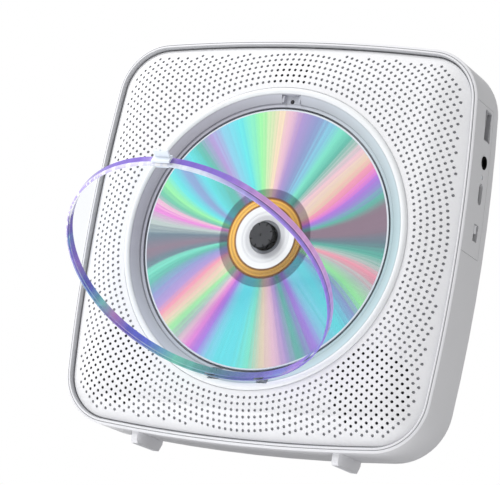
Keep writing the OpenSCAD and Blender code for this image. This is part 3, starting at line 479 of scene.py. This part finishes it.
def all_finishes(scene):
    """Every finish by the record's slot. Each starts from what the real surface is and how it was made."""
    colours = scene.player_colours
    shell, face = linear(colours.shell), linear(colours.face)
    # Name, the two colours between which it drifts, roughness, grain and relief in millimetres, and what else
    # its shader takes
    skins = {
        # ABS, moulded against a spark-eroded tool: a satin white whose grain softens every highlight
        "white_shell": ("abs_white_satin_moulded", shell, tint(shell, 0.96), 0.42, 0.35, 0.012),
        # the same ABS with a lacquer over it: a touch brighter and flatter
        "grille_white": ("abs_white_lacquered", face, tint(face, 0.97), 0.5, 0.3, 0.008),
        # ABS, smooth moulded: a plain grey-white strip that takes the sockets
        "panel_white": ("abs_white_side_strip", tint(shell, 0.97), tint(shell, 0.94), 0.4, 0.35, 0.01),
        # ABS, satin moulded: the housing's walls, which turn away from the light, painted darker than the shell as
        # shade
        "wall_white": ("abs_white_wall_moulded", tint(shell, 0.79), tint(shell, 0.75), 0.46, 0.35, 0.012),
        # ABS, satin grey: the deck under the disc
        "tray_grey": ("abs_grey_deck_moulded", "#c3c6cc", "#b8bbc2", 0.45, 0.4, 0.012),
        # ABS: the fine grooves beside the bezel's ridge, painted grey as their shade
        "groove_grey": ("abs_groove_etched", "#b9babd", "#acadb0", 0.7, 0.35, 0.012),
        # ABS: the seam round the strip of sockets and its openings' edges, painted dark grey as their shade
        "seam_grey": ("abs_seam_etched", "#5c5d61", "#525357", 0.7, 0.35, 0.012),
        # ABS, satin: keys and the switch's knob
        "button_white": ("abs_pale_grey_keys", "#d9dadd", "#cfd0d4", 0.38, 0.35, 0.01),
        # clear polystyrene, etched in the tool: the clip looks frosty white against the clear lid
        "clip_frosted": (
            "clear_polystyrene_etched", "#f4f7fc", "#dbe8f6", 0.16, 0.8, 0.01,
            {"IOR": 1.5, "Coat Weight": 0.4, "Coat Roughness": 0.06},
        ),
        # tin-plated sheet round a moulded tongue: a socket reads as one flat grey
        "socket_grey": ("steel_tin_plated_matt", "#b2b2b5", "#a2a2a6", 0.5, 0.4, 0.01),
        # the smaller socket, plated darker
        "socket_dark": ("steel_nickel_plated_matt", "#8a8a8d", "#7c7c80", 0.5, 0.4, 0.01),
        # milky acrylic rod, cut: a pale dot in the wall
        "light_pipe": ("acrylic_diffusing_rod", "#dfe6ea", "#cfd8de", 0.3, 0.5, 0.005, {"IOR": 1.49}),
        # ABS, dark and matt: the hub's cap swallows most light
        "hub_black": ("abs_charcoal_matt_moulded", "#49494b", "#404042", 0.7, 0.4, 0.02, {"IOR": 1.3}),
        # near black with next to no mirror: on the jack it is the jack's own black, and round the cap's edge and in
        # its notches it is painted shade
        "hub_edge": ("rubber_black_matt", "#0e0e0f", "#080809", 0.9, 0.4, 0.02, {"IOR": 1.08}),
        # acetal, turned: the grey platter under the disc
        "hub_grey": ("acetal_grey_turned", "#8c8e93", "#808288", 0.4, 0.5, 0.01),
        # glass-filled nylon: black with a dry, slightly speckled face
        "black_plastic": ("nylon_black_glass_filled", "#2b2b2e", "#232326", 0.5, 0.3, 0.02),
        # sheet steel, zinc plated: a cool grey with rolling lines along its length
        "steel": ("steel_zinc_plated_rolled", "#b9bcc0", "#a3a7ac", 0.3, 0.4, 0.008, METAL, (0.06, 1, 1)),
        # steel, turned and plated: small bright heads
        "screw_steel": ("steel_screw_turned_plated", "#a9acb0", "#96999e", 0.28, 0.3, 0.01, METAL),
        # brass, rolled thread: warm metal with a machined sheen
        "brass_screw": ("brass_thread_rolled", "#c9a457", "#b8924a", 0.25, 0.3, 0.008, METAL),
        # silicone rubber, compression moulded: dull black that barely shines
        "black_rubber": ("silicone_rubber_moulded", "#2a2a2c", "#222224", 0.75, 0.5, 0.03),
        # pressed steel, black e-coat: the speakers' baskets
        "speaker_steel": ("steel_black_dip_coated", "#303236", "#26282c", 0.4, 0.4, 0.015),
        # felted paper pulp, pressed: soft dark grey with fibres about 0.6 mm long
        "paper_cone": ("paper_pulp_pressed", "#4a4a4d", "#3a3a3d", 0.85, 0.6, 0.08),
        # sintered ferrite: near black, dry and finely pitted
        "ferrite": ("ferrite_sintered_ground", "#3a3b3e", "#2f3033", 0.65, 0.25, 0.03),
        # aluminium can in a printed PVC sleeve: slate blue with a soft gloss
        "capacitor_can": ("pvc_sleeve_shrunk", "#3c5f94", "#345585", 0.3, 0.8, 0.01),
    }
    return {
        **{slot: moulded(*skin) for slot, skin in skins.items()},
        "ring_white": ring_gloss(colours),
        # clear polystyrene from a polished tool, coated against glare, which leaves it a mirror as weak as an index
        # of 1.15 gives: a window that shows only at its edges
        "clear_plastic": clear_plastic("clear_polystyrene_coated", "#fbfdff", 0.004, 1.15),
        # moulded optical acrylic: a faint blue bloom
        "lens_clear": clear_plastic("optical_acrylic_coated", "#cfdcf4", 0.02, 1.49),
        "disc_mirror": rainbow_disc(scene.player_well, colours),
        "circuit_board": circuit_board(),
    }


# ---------------------------------------------------------------- meshes

# Points drawn along each bowed side, round each corner, round the well's edge and round the disc and its cap
SIDE_STEPS = 28
CORNER_STEPS = 24
WELL_STEPS = 180
TURN_STEPS = 240


def arcs(scene):
    """Side radius, corner radius, their centres, and the angle where they join, in millimetres."""
    body = scene.player_body
    bow = body.side_bow / MM
    side_r = (GRILLE_HALF**2 + bow**2) / (2 * bow)
    base_r = body.corner_radius / MM - BEZEL_WIDTH
    side_c = GRILLE_HALF - side_r
    corner_c = (side_c + sqrt(2 * (side_r - base_r) ** 2 - side_c**2)) / 2
    return side_r, base_r, side_c, corner_c, atan2(corner_c, corner_c - side_c)


def outline(scene, offset):
    """Points of the body's outline in millimetres, moved out by offset from the face's edge: four bowed
    sides and four round corners, anticlockwise as seen from the front."""
    side_r, base_r, side_c, corner_c, join = arcs(scene)
    points = []
    for quarter in range(4):
        c, s = cos(quarter * pi / 2), sin(quarter * pi / 2)
        run = [
            (side_c + (side_r + offset) * cos(a), (side_r + offset) * sin(a))
            for a in np.linspace(-join, join, SIDE_STEPS, endpoint=False)
        ] + [
            (corner_c + (base_r + offset) * cos(a), corner_c + (base_r + offset) * sin(a))
            for a in np.linspace(join, pi / 2 - join, CORNER_STEPS, endpoint=False)
        ]
        points += [(x * c - y * s, x * s + y * c) for x, y in run]
    return np.array(points)


def raised(places, height):
    """Points in millimetres over places on the face, at this height above the wall."""
    return np.stack(np.broadcast_arrays(places[..., 0], -height, places[..., 1]), -1)


def inset(scene, places):
    """How far places lie inside the face's edge, in millimetres."""
    side_r, base_r, side_c, corner_c, join = arcs(scene)
    x, z = np.abs(places[..., 0]), np.abs(places[..., 1])
    angle = np.arctan2(z - corner_c, x - corner_c)
    in_corner = (x > corner_c) & (z > corner_c) & (angle > join) & (angle < pi / 2 - join)
    sides = side_r - np.maximum(np.hypot(x - side_c, z), np.hypot(x, z - side_c))
    return np.where(in_corner, base_r - np.hypot(x - corner_c, z - corner_c), sides)


def face_height(scene, places):
    """Height of the perforated face above the wall, in millimetres: flat, rolling back towards the edge."""
    body = scene.player_body
    drop, roll = body.grille_drop / MM, body.grille_roll / MM
    return GRILLE_HEIGHT - drop + drop * np.sin(pi / 2 * np.clip(inset(scene, places) / roll, 0, 1))


def face_normals(scene, places):
    """Unit normals of the perforated face."""
    step = 0.05
    dx, dz = (
        (face_height(scene, places + shift) - face_height(scene, places - shift)) / (2 * step)
        for shift in np.eye(2) * step
    )
    normals = np.stack([-dx, -np.ones_like(dx), -dz], -1)
    return normals / np.linalg.norm(normals, axis=-1, keepdims=True)


# Bare border between the well's edge and the first ring of holes, in millimetres, and how far the last ring
# reaches into the corners, as a share of the face's half width
WELL_BORDER = 1.9
CORNER_REACH = 1.3


def holes(scene):
    """Centres of the holes in millimetres, and which of them go right through: rings about the well with six
    more holes in each ring than in the last."""
    body = scene.player_body
    pitch = body.hole_pitch / MM
    places = []
    for m in range(ceil((body.well_radius / MM + WELL_BORDER) / pitch), ceil(CORNER_REACH * GRILLE_HALF / pitch) + 1):
        a = (np.arange(6 * m) + 0.5) * pi / 3 / m
        places.append(np.stack([pitch * m * np.sin(a), pitch * m * np.cos(a)], -1))
    p = np.concatenate(places)
    p = p[inset(scene, p) > body.hole_margin / MM]
    across, up, at = np.abs(p[:, 0]), p[:, 1], body.speaker_place / MM
    over_speaker = np.hypot(across - at, up + at) < body.speaker_open / MM
    over_display = (across < body.window_half / MM) & (up > body.window_low / MM) & (up < body.window_high / MM)
    return p, over_speaker | over_display


def sheet_with_holes(loops, rings):
    """Triangles between closed loops of points: loops bound the sheet, and rings are left empty. Gives the
    points and the triangles, anticlockwise."""
    points, edges, owner = [], [], []
    for number, loop in enumerate([*loops, *rings]):
        start = len(points)
        points += [Vector(p) for p in loop]
        edges += [(start + k, start + (k + 1) % len(loop)) for k in range(len(loop))]
        owner += [number] * len(loop)
    made, _, faces, origins, _, _ = delaunay_2d_cdt(points, edges, [], 0, 1e-6, True)
    owners = [owner[o[0]] if o else -1 for o in origins]
    kept = []
    for face in faces:
        group = {owners[k] for k in face}
        # A triangle with all its corners on one ring fills that ring
        if len(group) > 1 or min(group) < len(loops):
            a, b, c = (made[k] for k in face)
            kept.append(tuple(face) if (b - a).cross(c - a) > 0 else tuple(reversed(face)))
    return np.array([tuple(p) for p in made]), kept


def grid_faces(rows, columns):
    """Quads over a grid of points that closes on itself in both directions."""
    return [
        (j * columns + i, j * columns + (i + 1) % columns, next_j * columns + (i + 1) % columns, next_j * columns + i)
        for j, next_j in zip(range(rows), [*range(1, rows), 0])
        for i in range(columns)
    ]


def swept(scene, profile):
    """Points and faces of a closed profile of (offset, height) carried round the body's outline."""
    rows = [raised(outline(scene, offset), height) for offset, height in profile]
    return np.concatenate(rows), grid_faces(len(rows), len(rows[0]))


def turned(profile):
    """Points and faces of a closed profile of (radius, height) turned about the disc's axis."""
    turns = [2 * pi * k / TURN_STEPS for k in range(TURN_STEPS)]
    return [(r * sin(a), -h, r * cos(a)) for a in turns for r, h in profile], grid_faces(TURN_STEPS, len(profile))


def link_piece(name, mesh):
    """An object of this mesh, linked to the scene."""
    piece = bpy.data.objects.new(name, mesh)
    bpy.context.scene.collection.objects.link(piece)
    return piece


def new_piece(name, points, faces, materials, indices=None, normals=None, crease=30, closed=False):
    """A mesh object from points in millimetres, smooth apart from edges sharper than crease degrees. The faces
    of a closed one are turned to face outwards."""
    mesh = bpy.data.meshes.new(name)
    mesh.from_pydata([tuple(c * MM for c in p) for p in points], [], faces)
    for material in materials:
        mesh.materials.append(material)
    if indices is not None:
        mesh.polygons.foreach_set("material_index", indices)
    if closed:
        bm = bmesh.new()
        bm.from_mesh(mesh)
        bmesh.ops.recalc_face_normals(bm, faces=bm.faces)
        bm.to_mesh(mesh)
        bm.free()
    mesh.shade_smooth()
    if normals is not None:
        mesh.normals_split_custom_set_from_vertices(normals)
    else:
        mesh.set_sharp_from_angle(angle=radians(crease))
    mesh.update()
    return link_piece(name, mesh)


def welded(node, name, crease=28, rounding=0.0):
    """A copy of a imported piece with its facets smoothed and, where rounding is given in millimetres, its
    outer edges rounded off."""
    bm = bmesh.new()
    bm.from_mesh(NODES[node].data)
    bmesh.ops.remove_doubles(bm, verts=bm.verts, dist=0.002 * MM)
    bmesh.ops.dissolve_limit(bm, angle_limit=radians(0.2), verts=bm.verts, edges=bm.edges)
    mesh = bpy.data.meshes.new(name)
    bm.to_mesh(mesh)
    bm.free()
    for extra in ("custom_normal", "sharp_edge", "sharp_face"):
        if extra in mesh.attributes:
            mesh.attributes.remove(mesh.attributes[extra])
    mesh.materials.clear()
    mesh.shade_smooth()
    mesh.set_sharp_from_angle(angle=radians(crease))
    piece = link_piece(name, mesh)
    if rounding:
        bevel = piece.modifiers.new("rounded_edges", "BEVEL")
        bevel.width = rounding * MM
        bevel.segments = 2
        bevel.limit_method = "ANGLE"
        bevel.angle_limit = radians(40)
        bevel.harden_normals = True
    return piece


def stand_in(piece, body, slot, *nodes):
    """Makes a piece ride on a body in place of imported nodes."""
    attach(piece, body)
    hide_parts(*nodes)


def finish_of(context, slot):
    """The finish made for a slot."""
    name = context.scene.get("player_finishes", {}).get(slot)
    if name is None or name not in bpy.data.materials:
        raise RuntimeError("make the finishes first")
    return bpy.data.materials[name]


# ---------------------------------------------------------------- operators

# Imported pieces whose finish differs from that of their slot
OWN_FINISH = {
    "audio_jack": "hub_edge",
    "lid_clip": "clip_frosted",
    "usb_a_port": "socket_grey",
    "type_c_port": "socket_dark",
}


class PLAYER_OT_finishes(bpy.types.Operator):
    """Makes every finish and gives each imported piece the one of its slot"""

    bl_idname = "player.finishes"
    bl_label = "Finishes"

    def execute(self, context):
        made = all_finishes(context.scene)
        context.scene["player_finishes"] = {slot: material.name for slot, material in made.items()}
        for piece_name, piece in NODES.items():
            for place in piece.material_slots:
                slot = place.material.name.split(".")[0]
                place.link = "OBJECT"
                place.material = made[OWN_FINISH.get(piece_name, slot)]
        return {"FINISHED"}


# Material places of the perforated face: the front, and the blind and open holes, whose greys are painted shade
FRONT, BLIND, OPEN = range(3)
# Loops inside the face's edge that carry its roll, the loop outside the well's edge, and how far the face's back
# reaches in, all in millimetres
ROLL_LOOPS = (-0.3, -1.2, -2.4)
WELL_LOOP = 1.2
BACK_REACH = 6.0


class PLAYER_OT_face(bpy.types.Operator):
    """Builds the perforated face: a softly rolled sheet with rings of rimmed holes"""

    bl_idname = "player.face"
    bl_label = "Perforated Face"

    def execute(self, context):
        scene = context.scene
        body = scene.player_body
        radius, rim = body.hole_diameter / 2 / MM, body.hole_rim / MM
        thick, deep = body.grille_thickness / MM, body.dimple_depth / MM
        well = body.well_radius / MM
        around = np.arange(body.hole_sides) * 2 * pi / body.hole_sides
        circle = np.stack([np.sin(around), np.cos(around)], -1)[::-1]
        centres, open_ones = holes(scene)
        wide = centres[:, None] + (radius + rim) * circle
        slim = centres[:, None] + radius * circle
        turns = -np.arange(WELL_STEPS) * 2 * pi / WELL_STEPS
        well_edge, near_well = (
            np.array([(r * sin(a), r * cos(a)) for a in turns]) for r in (well, well + WELL_LOOP)
        )
        points, normals, faces, marks = [], [], [], []

        def add(new_points, new_normals, new_faces, mark):
            """Adds points with their normals, and faces that count from the first of these points."""
            start = sum(len(some) for some in points)
            points.append(new_points.reshape(-1, 3))
            normals.append(new_normals.reshape(-1, 3))
            faces.extend(tuple(start + k for k in face) for face in new_faces)
            marks.extend([mark] * len(new_faces))

        def strip(rows, row_normals, mark):
            """Adds quads between rows of loops; every loop has the same number of points."""
            for k in range(len(rows) - 1):
                first = np.arange(rows[k].size // 3).reshape(rows[k].shape[:2])
                second = first + first.size
                quads = np.stack([first, np.roll(first, -1, 1), np.roll(second, -1, 1), second], -1)
                add(np.stack(rows[k : k + 2]), np.stack(row_normals[k : k + 2]), quads.reshape(-1, 4).tolist(), mark)

        loops = [outline(scene, offset) for offset in ROLL_LOOPS]
        front, front_faces = sheet_with_holes([*loops, near_well], [well_edge, *wide])
        add(raised(front, face_height(scene, front)), face_normals(scene, front), front_faces, FRONT)
        for chosen, mark, depth in ((~open_ones, BLIND, deep), (open_ones, OPEN, thick)):
            top = face_height(scene, wide[chosen])
            middle = face_height(scene, centres[chosen])[:, None]
            up = face_normals(scene, wide[chosen])
            walls = np.broadcast_to(raised(-circle, 0.0), up.shape)
            throat = raised(slim[chosen], top - rim)
            bottom = raised(slim[chosen], middle - depth)
            strip([raised(wide[chosen], top), throat], [up, walls], FRONT)
            strip([throat, bottom], [walls, walls], mark)
            if mark == BLIND:
                ends = np.arange(bottom.size // 3).reshape(bottom.shape[:2])
                add(bottom, np.broadcast_to([0.0, -1.0, 0.0], bottom.shape), ends.tolist(), mark)
        # Outer edge: a small round, then the wall down to the back, in the blind holes' grey as painted shade
        edge = GRILLE_HEIGHT - body.grille_drop / MM
        inner = loops[0]
        outward = raised(outline(scene, ROLL_LOOPS[0] + 1) - inner, 0.0)
        rows, row_normals = [], []
        for offset, height, lean in (
            (ROLL_LOOPS[0], face_height(scene, inner), 0.0), (-0.1, edge - 0.02, 0.5),
            (0.0, edge - 0.2, 1.0), (0.0, edge - thick, 1.0),
        ):
            mixed = face_normals(scene, inner) * (1 - lean) + outward * lean
            rows.append(raised(outline(scene, offset), height)[None, ::-1])
            row_normals.append((mixed / np.linalg.norm(mixed, axis=1, keepdims=True))[None, ::-1])
        strip(rows[:3], row_normals[:3], FRONT)
        strip(rows[2:], row_normals[2:], BLIND)
        # The wall of the round opening
        height = face_height(scene, well_edge)
        rows = [raised(well_edge, height - depth)[None] for depth in (0.0, thick)]
        strip(rows, [raised(-well_edge, 0.0)[None] / well] * 2, FRONT)
        # The back, open where the front is open
        back, back_faces = sheet_with_holes(
            [outline(scene, 0.0), outline(scene, -BACK_REACH)], [well_edge, *slim[open_ones]]
        )
        back_faces = [face[::-1] for face in back_faces]
        add(raised(back, face_height(scene, back) - thick), -face_normals(scene, back), back_faces, FRONT)
        grey = scene.player_colours.dimple
        # The holes' walls and floors are painted shade: grey in the blind ones, near black in the open ones
        finishes = [
            finish_of(context, "grille_white"),
            moulded("abs_blind_holes_painted_shade", tint(grey, 1), tint(grey, 0.9), 0.6),
            moulded("abs_open_holes_painted_shade", tint(grey, 0.3), tint(grey, 0.25), 0.6),
        ]
        piece = new_piece("perforated_face", np.concatenate(points), faces, finishes, marks, np.concatenate(normals))
        stand_in(piece, "housing", "grille_white", "front_grille")
        return {"FINISHED"}


# The bezel's rim as (offset from the face's edge, height above the seam) in millimetres: its outer slope, a groove,
# and the round ridge with its wall against the face
RIM = (
    (1.1, 0.0), (BEZEL_WIDTH, 0.0), (BEZEL_WIDTH, 0.12), (3.1, 0.26), (2.8, 0.42), (2.45, 0.56), (2.12, 0.66),
    (2.02, 0.38), (1.88, 0.38), (1.78, 0.78), (1.6, 0.93), (1.3, 1.0), (1.0, 0.94), (0.75, 0.76), (0.6, 0.4),
)
# The flange that lies under the face: how far it reaches in from the face's edge, and its thickness
FLANGE_REACH = 2.6
FLANGE_THICKNESS = 1.8
# First and last steps of the bezel's profile in its outer groove, and in the one against the face: these faces take a
# grey of painted shade
GROOVES = ((8, 10), (14, 16))


class PLAYER_OT_casing(bpy.types.Operator):
    """Builds the rear housing, its side strip, the bezel and the feet with smooth walls and soft edges"""

    bl_idname = "player.casing"
    bl_label = "Casing"

    def execute(self, context):
        scene = context.scene
        for node, name, slot, finish, rounding in (
            # The housing and the socket strip take the wall white, darkened as painted shade
            ("rear_housing", "rear_shell", "white_shell", "wall_white", 0.0),
            ("port_panel", "side_strip", "panel_white", "wall_white", 0.35),
            ("left_foot", "foot_left", "white_shell", "white_shell", 0.25),
            ("right_foot", "foot_right", "white_shell", "white_shell", 0.25),
        ):
            piece = welded(node, name, rounding=rounding)
            piece.data.materials.append(finish_of(context, finish))
            if name == "side_strip":
                # Painted shade: the seam round the strip and the edges of its openings take a dark grey
                piece.data.materials.append(finish_of(context, "seam_grey"))
                piece.modifiers["rounded_edges"].material = 1
            stand_in(piece, "housing", slot, node)
        back = GRILLE_HEIGHT - (scene.player_body.grille_drop + scene.player_body.grille_thickness) / MM
        profile = [(-FLANGE_REACH, back - FLANGE_THICKNESS), (RIM[0][0], back - FLANGE_THICKNESS)]
        profile += [(offset, SEAM_HEIGHT + height) for offset, height in RIM]
        profile += [(RIM[-1][0], back), (-FLANGE_REACH, back)]
        points, faces = swept(scene, profile)
        size = len(faces) // len(profile)
        # Faces in the two grooves take the groove grey, painted shade
        marks = [int(any(a <= k // size <= b for a, b in GROOVES)) for k in range(len(faces))]
        finishes = [finish_of(context, "white_shell"), finish_of(context, "groove_grey")]
        bezel = new_piece("bezel_rim", points, faces, finishes, marks, crease=32, closed=True)
        stand_in(bezel, "housing", "white_shell", "front_bezel")
        return {"FINISHED"}


# The notches round the cap's edge: how many, how many steps of the turn each takes, how far below the cap's top
# they reach, in millimetres, and the places of the profile that they lower
NOTCHES = 8
NOTCH_STEPS = 3
NOTCH_DEPTH = 1.4
NOTCH_PLACES = range(4, 10)


class PLAYER_OT_disc(bpy.types.Operator):
    """Builds the disc with its stacking ring and rainbow face, and the notched cap that clamps it"""

    bl_idname = "player.disc"
    bl_label = "Disc"

    def execute(self, context):
        sizes = context.scene.player_well
        hole, r, top, low = sizes.disc_hole / MM, DISC_RADIUS, DISC_FACE, DISC_BACK
        # The stacking ring stands proud of the flat, and a fine groove runs inside it
        flat, groove = top - 0.05, top - 0.16
        points, faces = turned([
            (hole, low + 0.15), (hole, top - 0.2), (hole + 0.2, flat), (10.6, flat), (10.75, groove),
            (11.0, groove), (11.15, flat), (16.4, flat), (16.7, top), (17.4, top), (17.7, flat), (r - 0.25, flat),
            (r - 0.05, top - 0.15), (r, top - 0.4), (r, low + 0.2), (r - 0.2, low), (hole + 0.15, low),
        ])
        piece = new_piece("shining_disc", points, faces, [finish_of(context, "disc_mirror")], crease=8, closed=True)
        stand_in(piece, "spinner", "disc_mirror", "disc")
        # The cap that clamps the disc: a low step at its edge, notches in it and a dimple in its middle
        low, high = (-v.y / MM for v in reversed(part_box("clamp_hub")))
        cap = sizes.cap_radius / MM
        profile = [
            (0.05, high - 0.5), (0.6, high - 0.5), (0.7, high), (cap - 1.7, high), (cap - 1.6, high),
            (cap - 0.65, high), (cap - 0.5, high - 0.15), (cap - 0.5, high - 0.6), (cap - 0.1, high - 0.62),
            (cap, high - 0.75), (cap, low + 0.2), (cap - 0.2, low), (0.05, low),
        ]
        points, faces = turned(profile)
        notched, edge = [], []
        for number, (x, y, z) in enumerate(points):
            step, place = divmod(number, len(profile))
            in_notch = (step + 0.5 - TURN_STEPS / NOTCHES / 2) % (TURN_STEPS / NOTCHES) < NOTCH_STEPS
            if in_notch and place in NOTCH_PLACES:
                y = NOTCH_DEPTH - high
            notched.append((x, y, z))
            # The cap's outer step and side, and its notches, take the near black of painted shade
            edge.append(int(place >= (3 if in_notch else 6)))
        finishes = [finish_of(context, "hub_black"), finish_of(context, "hub_edge")]
        piece = new_piece("clamping_cap", notched, faces, finishes, edge, crease=25, closed=True)
        stand_in(piece, "spinner", "hub_black", "clamp_hub")
        return {"FINISHED"}


class PLAYER_OT_lid(bpy.types.Operator):
    """Gives the clear lid its window and its edge, tinted with painted light"""

    bl_idname = "player.lid"
    bl_label = "Lid"

    def execute(self, context):
        sizes = context.scene.player_well
        piece = welded("lid", "clear_lid", crease=30)
        piece.data.materials.append(finish_of(context, "clear_plastic"))
        piece.data.materials.append(lid_edge(sizes))
        hinge = Vector((0, -sizes.hinge_height, -sizes.hinge_drop))
        shut = Matrix.Rotation(-sizes.lid_angle, 4, "X")
        for polygon in piece.data.polygons:
            place = shut @ (polygon.center - hinge) + hinge
            # The hinge's knuckles, outside the skirt, stay clear
            if sizes.rim_radius < sqrt(place.x**2 + place.z**2) < sizes.skirt_radius:
                polygon.material_index = 1
        stand_in(piece, "lid", "clear_plastic", "lid")
        return {"FINISHED"}


def background_rays(node):
    """One for the rays that may see the plain white surroundings: the camera's, mirrored and refracted ones."""
    light = node("LightPath").outputs
    seen = node("Math", {"operation": "MAXIMUM", 0: light["Is Camera Ray"], 1: light["Is Glossy Ray"]})
    return node("Math", {"operation": "MAXIMUM", 0: seen, 1: light["Is Transmission Ray"]})


# Half the width of the floor, in millimetres
FLOOR_HALF = 3000


class PLAYER_OT_stage(bpy.types.Operator):
    """Sets the pale floor, the soft lamps, the white surroundings and the camera"""

    bl_idname = "player.stage"
    bl_label = "Stage"

    def execute(self, context):
        scene = context.scene
        stage = scene.player_stage
        material, node = new_material("plaster_floor_painted")
        # Seen from above it is pale and fades into the white surroundings; from below, and for light that comes
        # up through it, it isn't there
        geometry = node("NewGeometry").outputs
        reach = node("VectorMath", {"operation": "LENGTH", 0: geometry["Position"]})
        fade = node("MapRange", {
            "interpolation_type": "SMOOTHSTEP", "Value": reach,
            "From Min": stage.floor_near, "From Max": stage.floor_far,
        })
        far = node("Math", {"operation": "MULTIPLY", 0: fade, 1: background_rays(node)})
        shadow = node("LightPath").outputs["Is Shadow Ray"]
        one_sided = node("Math", {"operation": "MAXIMUM", 0: geometry["Backfacing"], 1: shadow})
        open_to = node("Math", {"operation": "MAXIMUM", 0: one_sided, 1: far})
        pale = node("BsdfDiffuse", {"Color": "#f2f2f2"})
        mix = node("MixShader", {0: open_to, 1: pale, 2: node("BsdfTransparent")})
        node("OutputMaterial", {"Surface": mix})
        corners = ((-1, -1), (1, -1), (1, 1), (-1, 1))
        points = [(x * FLOOR_HALF, y * FLOOR_HALF, FLOOR_LEVEL) for x, y in corners]
        new_piece("floor", points, [(0, 1, 2, 3)], [material])
        for name, power, size, place in (
            ("key_lamp", stage.key_power, 0.5, (-0.6, -0.6, 0.66)),
            ("fill_lamp", stage.fill_power, 1.4, (1.2, -1.2, 0.3)),
            ("table_lamp", stage.table_power, 1.0, (0.15, -0.4, -0.75)),
        ):
            lamp = bpy.data.lights.new(name, "AREA")
            lamp.energy = power
            lamp.size = size
            holder = link_piece(name, lamp)
            holder.location = place
            # Light passes the clear lid as shadow rays, so it must not also arrive mirrored or refracted by it
            holder.visible_glossy = False
            holder.visible_transmission = False
            holder.rotation_euler = (-Vector(place)).to_track_quat("-Z", "Y").to_euler()
        world = bpy.data.worlds.new("white_surroundings")
        world.use_nodes = True
        world.node_tree.nodes.clear()
        node = partial(add_node, world.node_tree)
        even, white = (
            node("Background", {"Color": "#ffffff", "Strength": strength})
            for strength in (stage.sky_level, 1.0)
        )
        mix = node("MixShader", {0: background_rays(node), 1: even, 2: white})
        node("OutputWorld", {"Surface": mix})
        scene.world = world
        scene.view_settings.view_transform = "Standard"
        camera = bpy.data.cameras.new("camera")
        camera.lens = stage.focal_length
        camera.sensor_width = 36
        camera.clip_end = 20
        scene.camera = link_piece("camera", camera)
        scene.camera.location = stage.camera_place
        scene.camera.rotation_euler = stage.camera_turn
        return {"FINISHED"}


class PLAYER_PT_panel(bpy.types.Panel):
    """Lists the player's pieces and their sizes and colours"""

    bl_idname = "PLAYER_PT_panel"
    bl_label = "Disc Player"
    bl_space_type = "VIEW_3D"
    bl_region_type = "UI"
    bl_category = "Disc Player"

    def draw(self, context):
        layout = self.layout
        for operator in OPERATORS:
            layout.operator(operator.bl_idname)
        for name in SETTINGS:
            group = getattr(context.scene, name)
            box = layout.box()
            for prop in group.bl_rna.properties:
                if prop.identifier not in ("rna_type", "name"):
                    box.prop(group, prop.identifier)


SETTINGS = {
    "player_body": BodySizes,
    "player_well": WellSizes,
    "player_colours": Colours,
    "player_stage": StageSettings,
}
OPERATORS = (
    PLAYER_OT_finishes,
    PLAYER_OT_face,
    PLAYER_OT_casing,
    PLAYER_OT_disc,
    PLAYER_OT_lid,
    PLAYER_OT_stage,
)
CLASSES = (*SETTINGS.values(), *OPERATORS, PLAYER_PT_panel)


def register():
    """Registers the classes and hangs the settings on the scene."""
    for cls in CLASSES:
        bpy.utils.register_class(cls)
    for name, group in SETTINGS.items():
        setattr(bpy.types.Scene, name, PointerProperty(type=group))


def unregister():
    """Takes the settings and classes away again."""
    for name in SETTINGS:
        delattr(bpy.types.Scene, name)
    for cls in reversed(CLASSES):
        bpy.utils.unregister_class(cls)


def main():
    register()
    for operator in OPERATORS:
        group, name = operator.bl_idname.split(".")
        getattr(getattr(bpy.ops, group), name)()


if __name__ == "__main__":
    main()
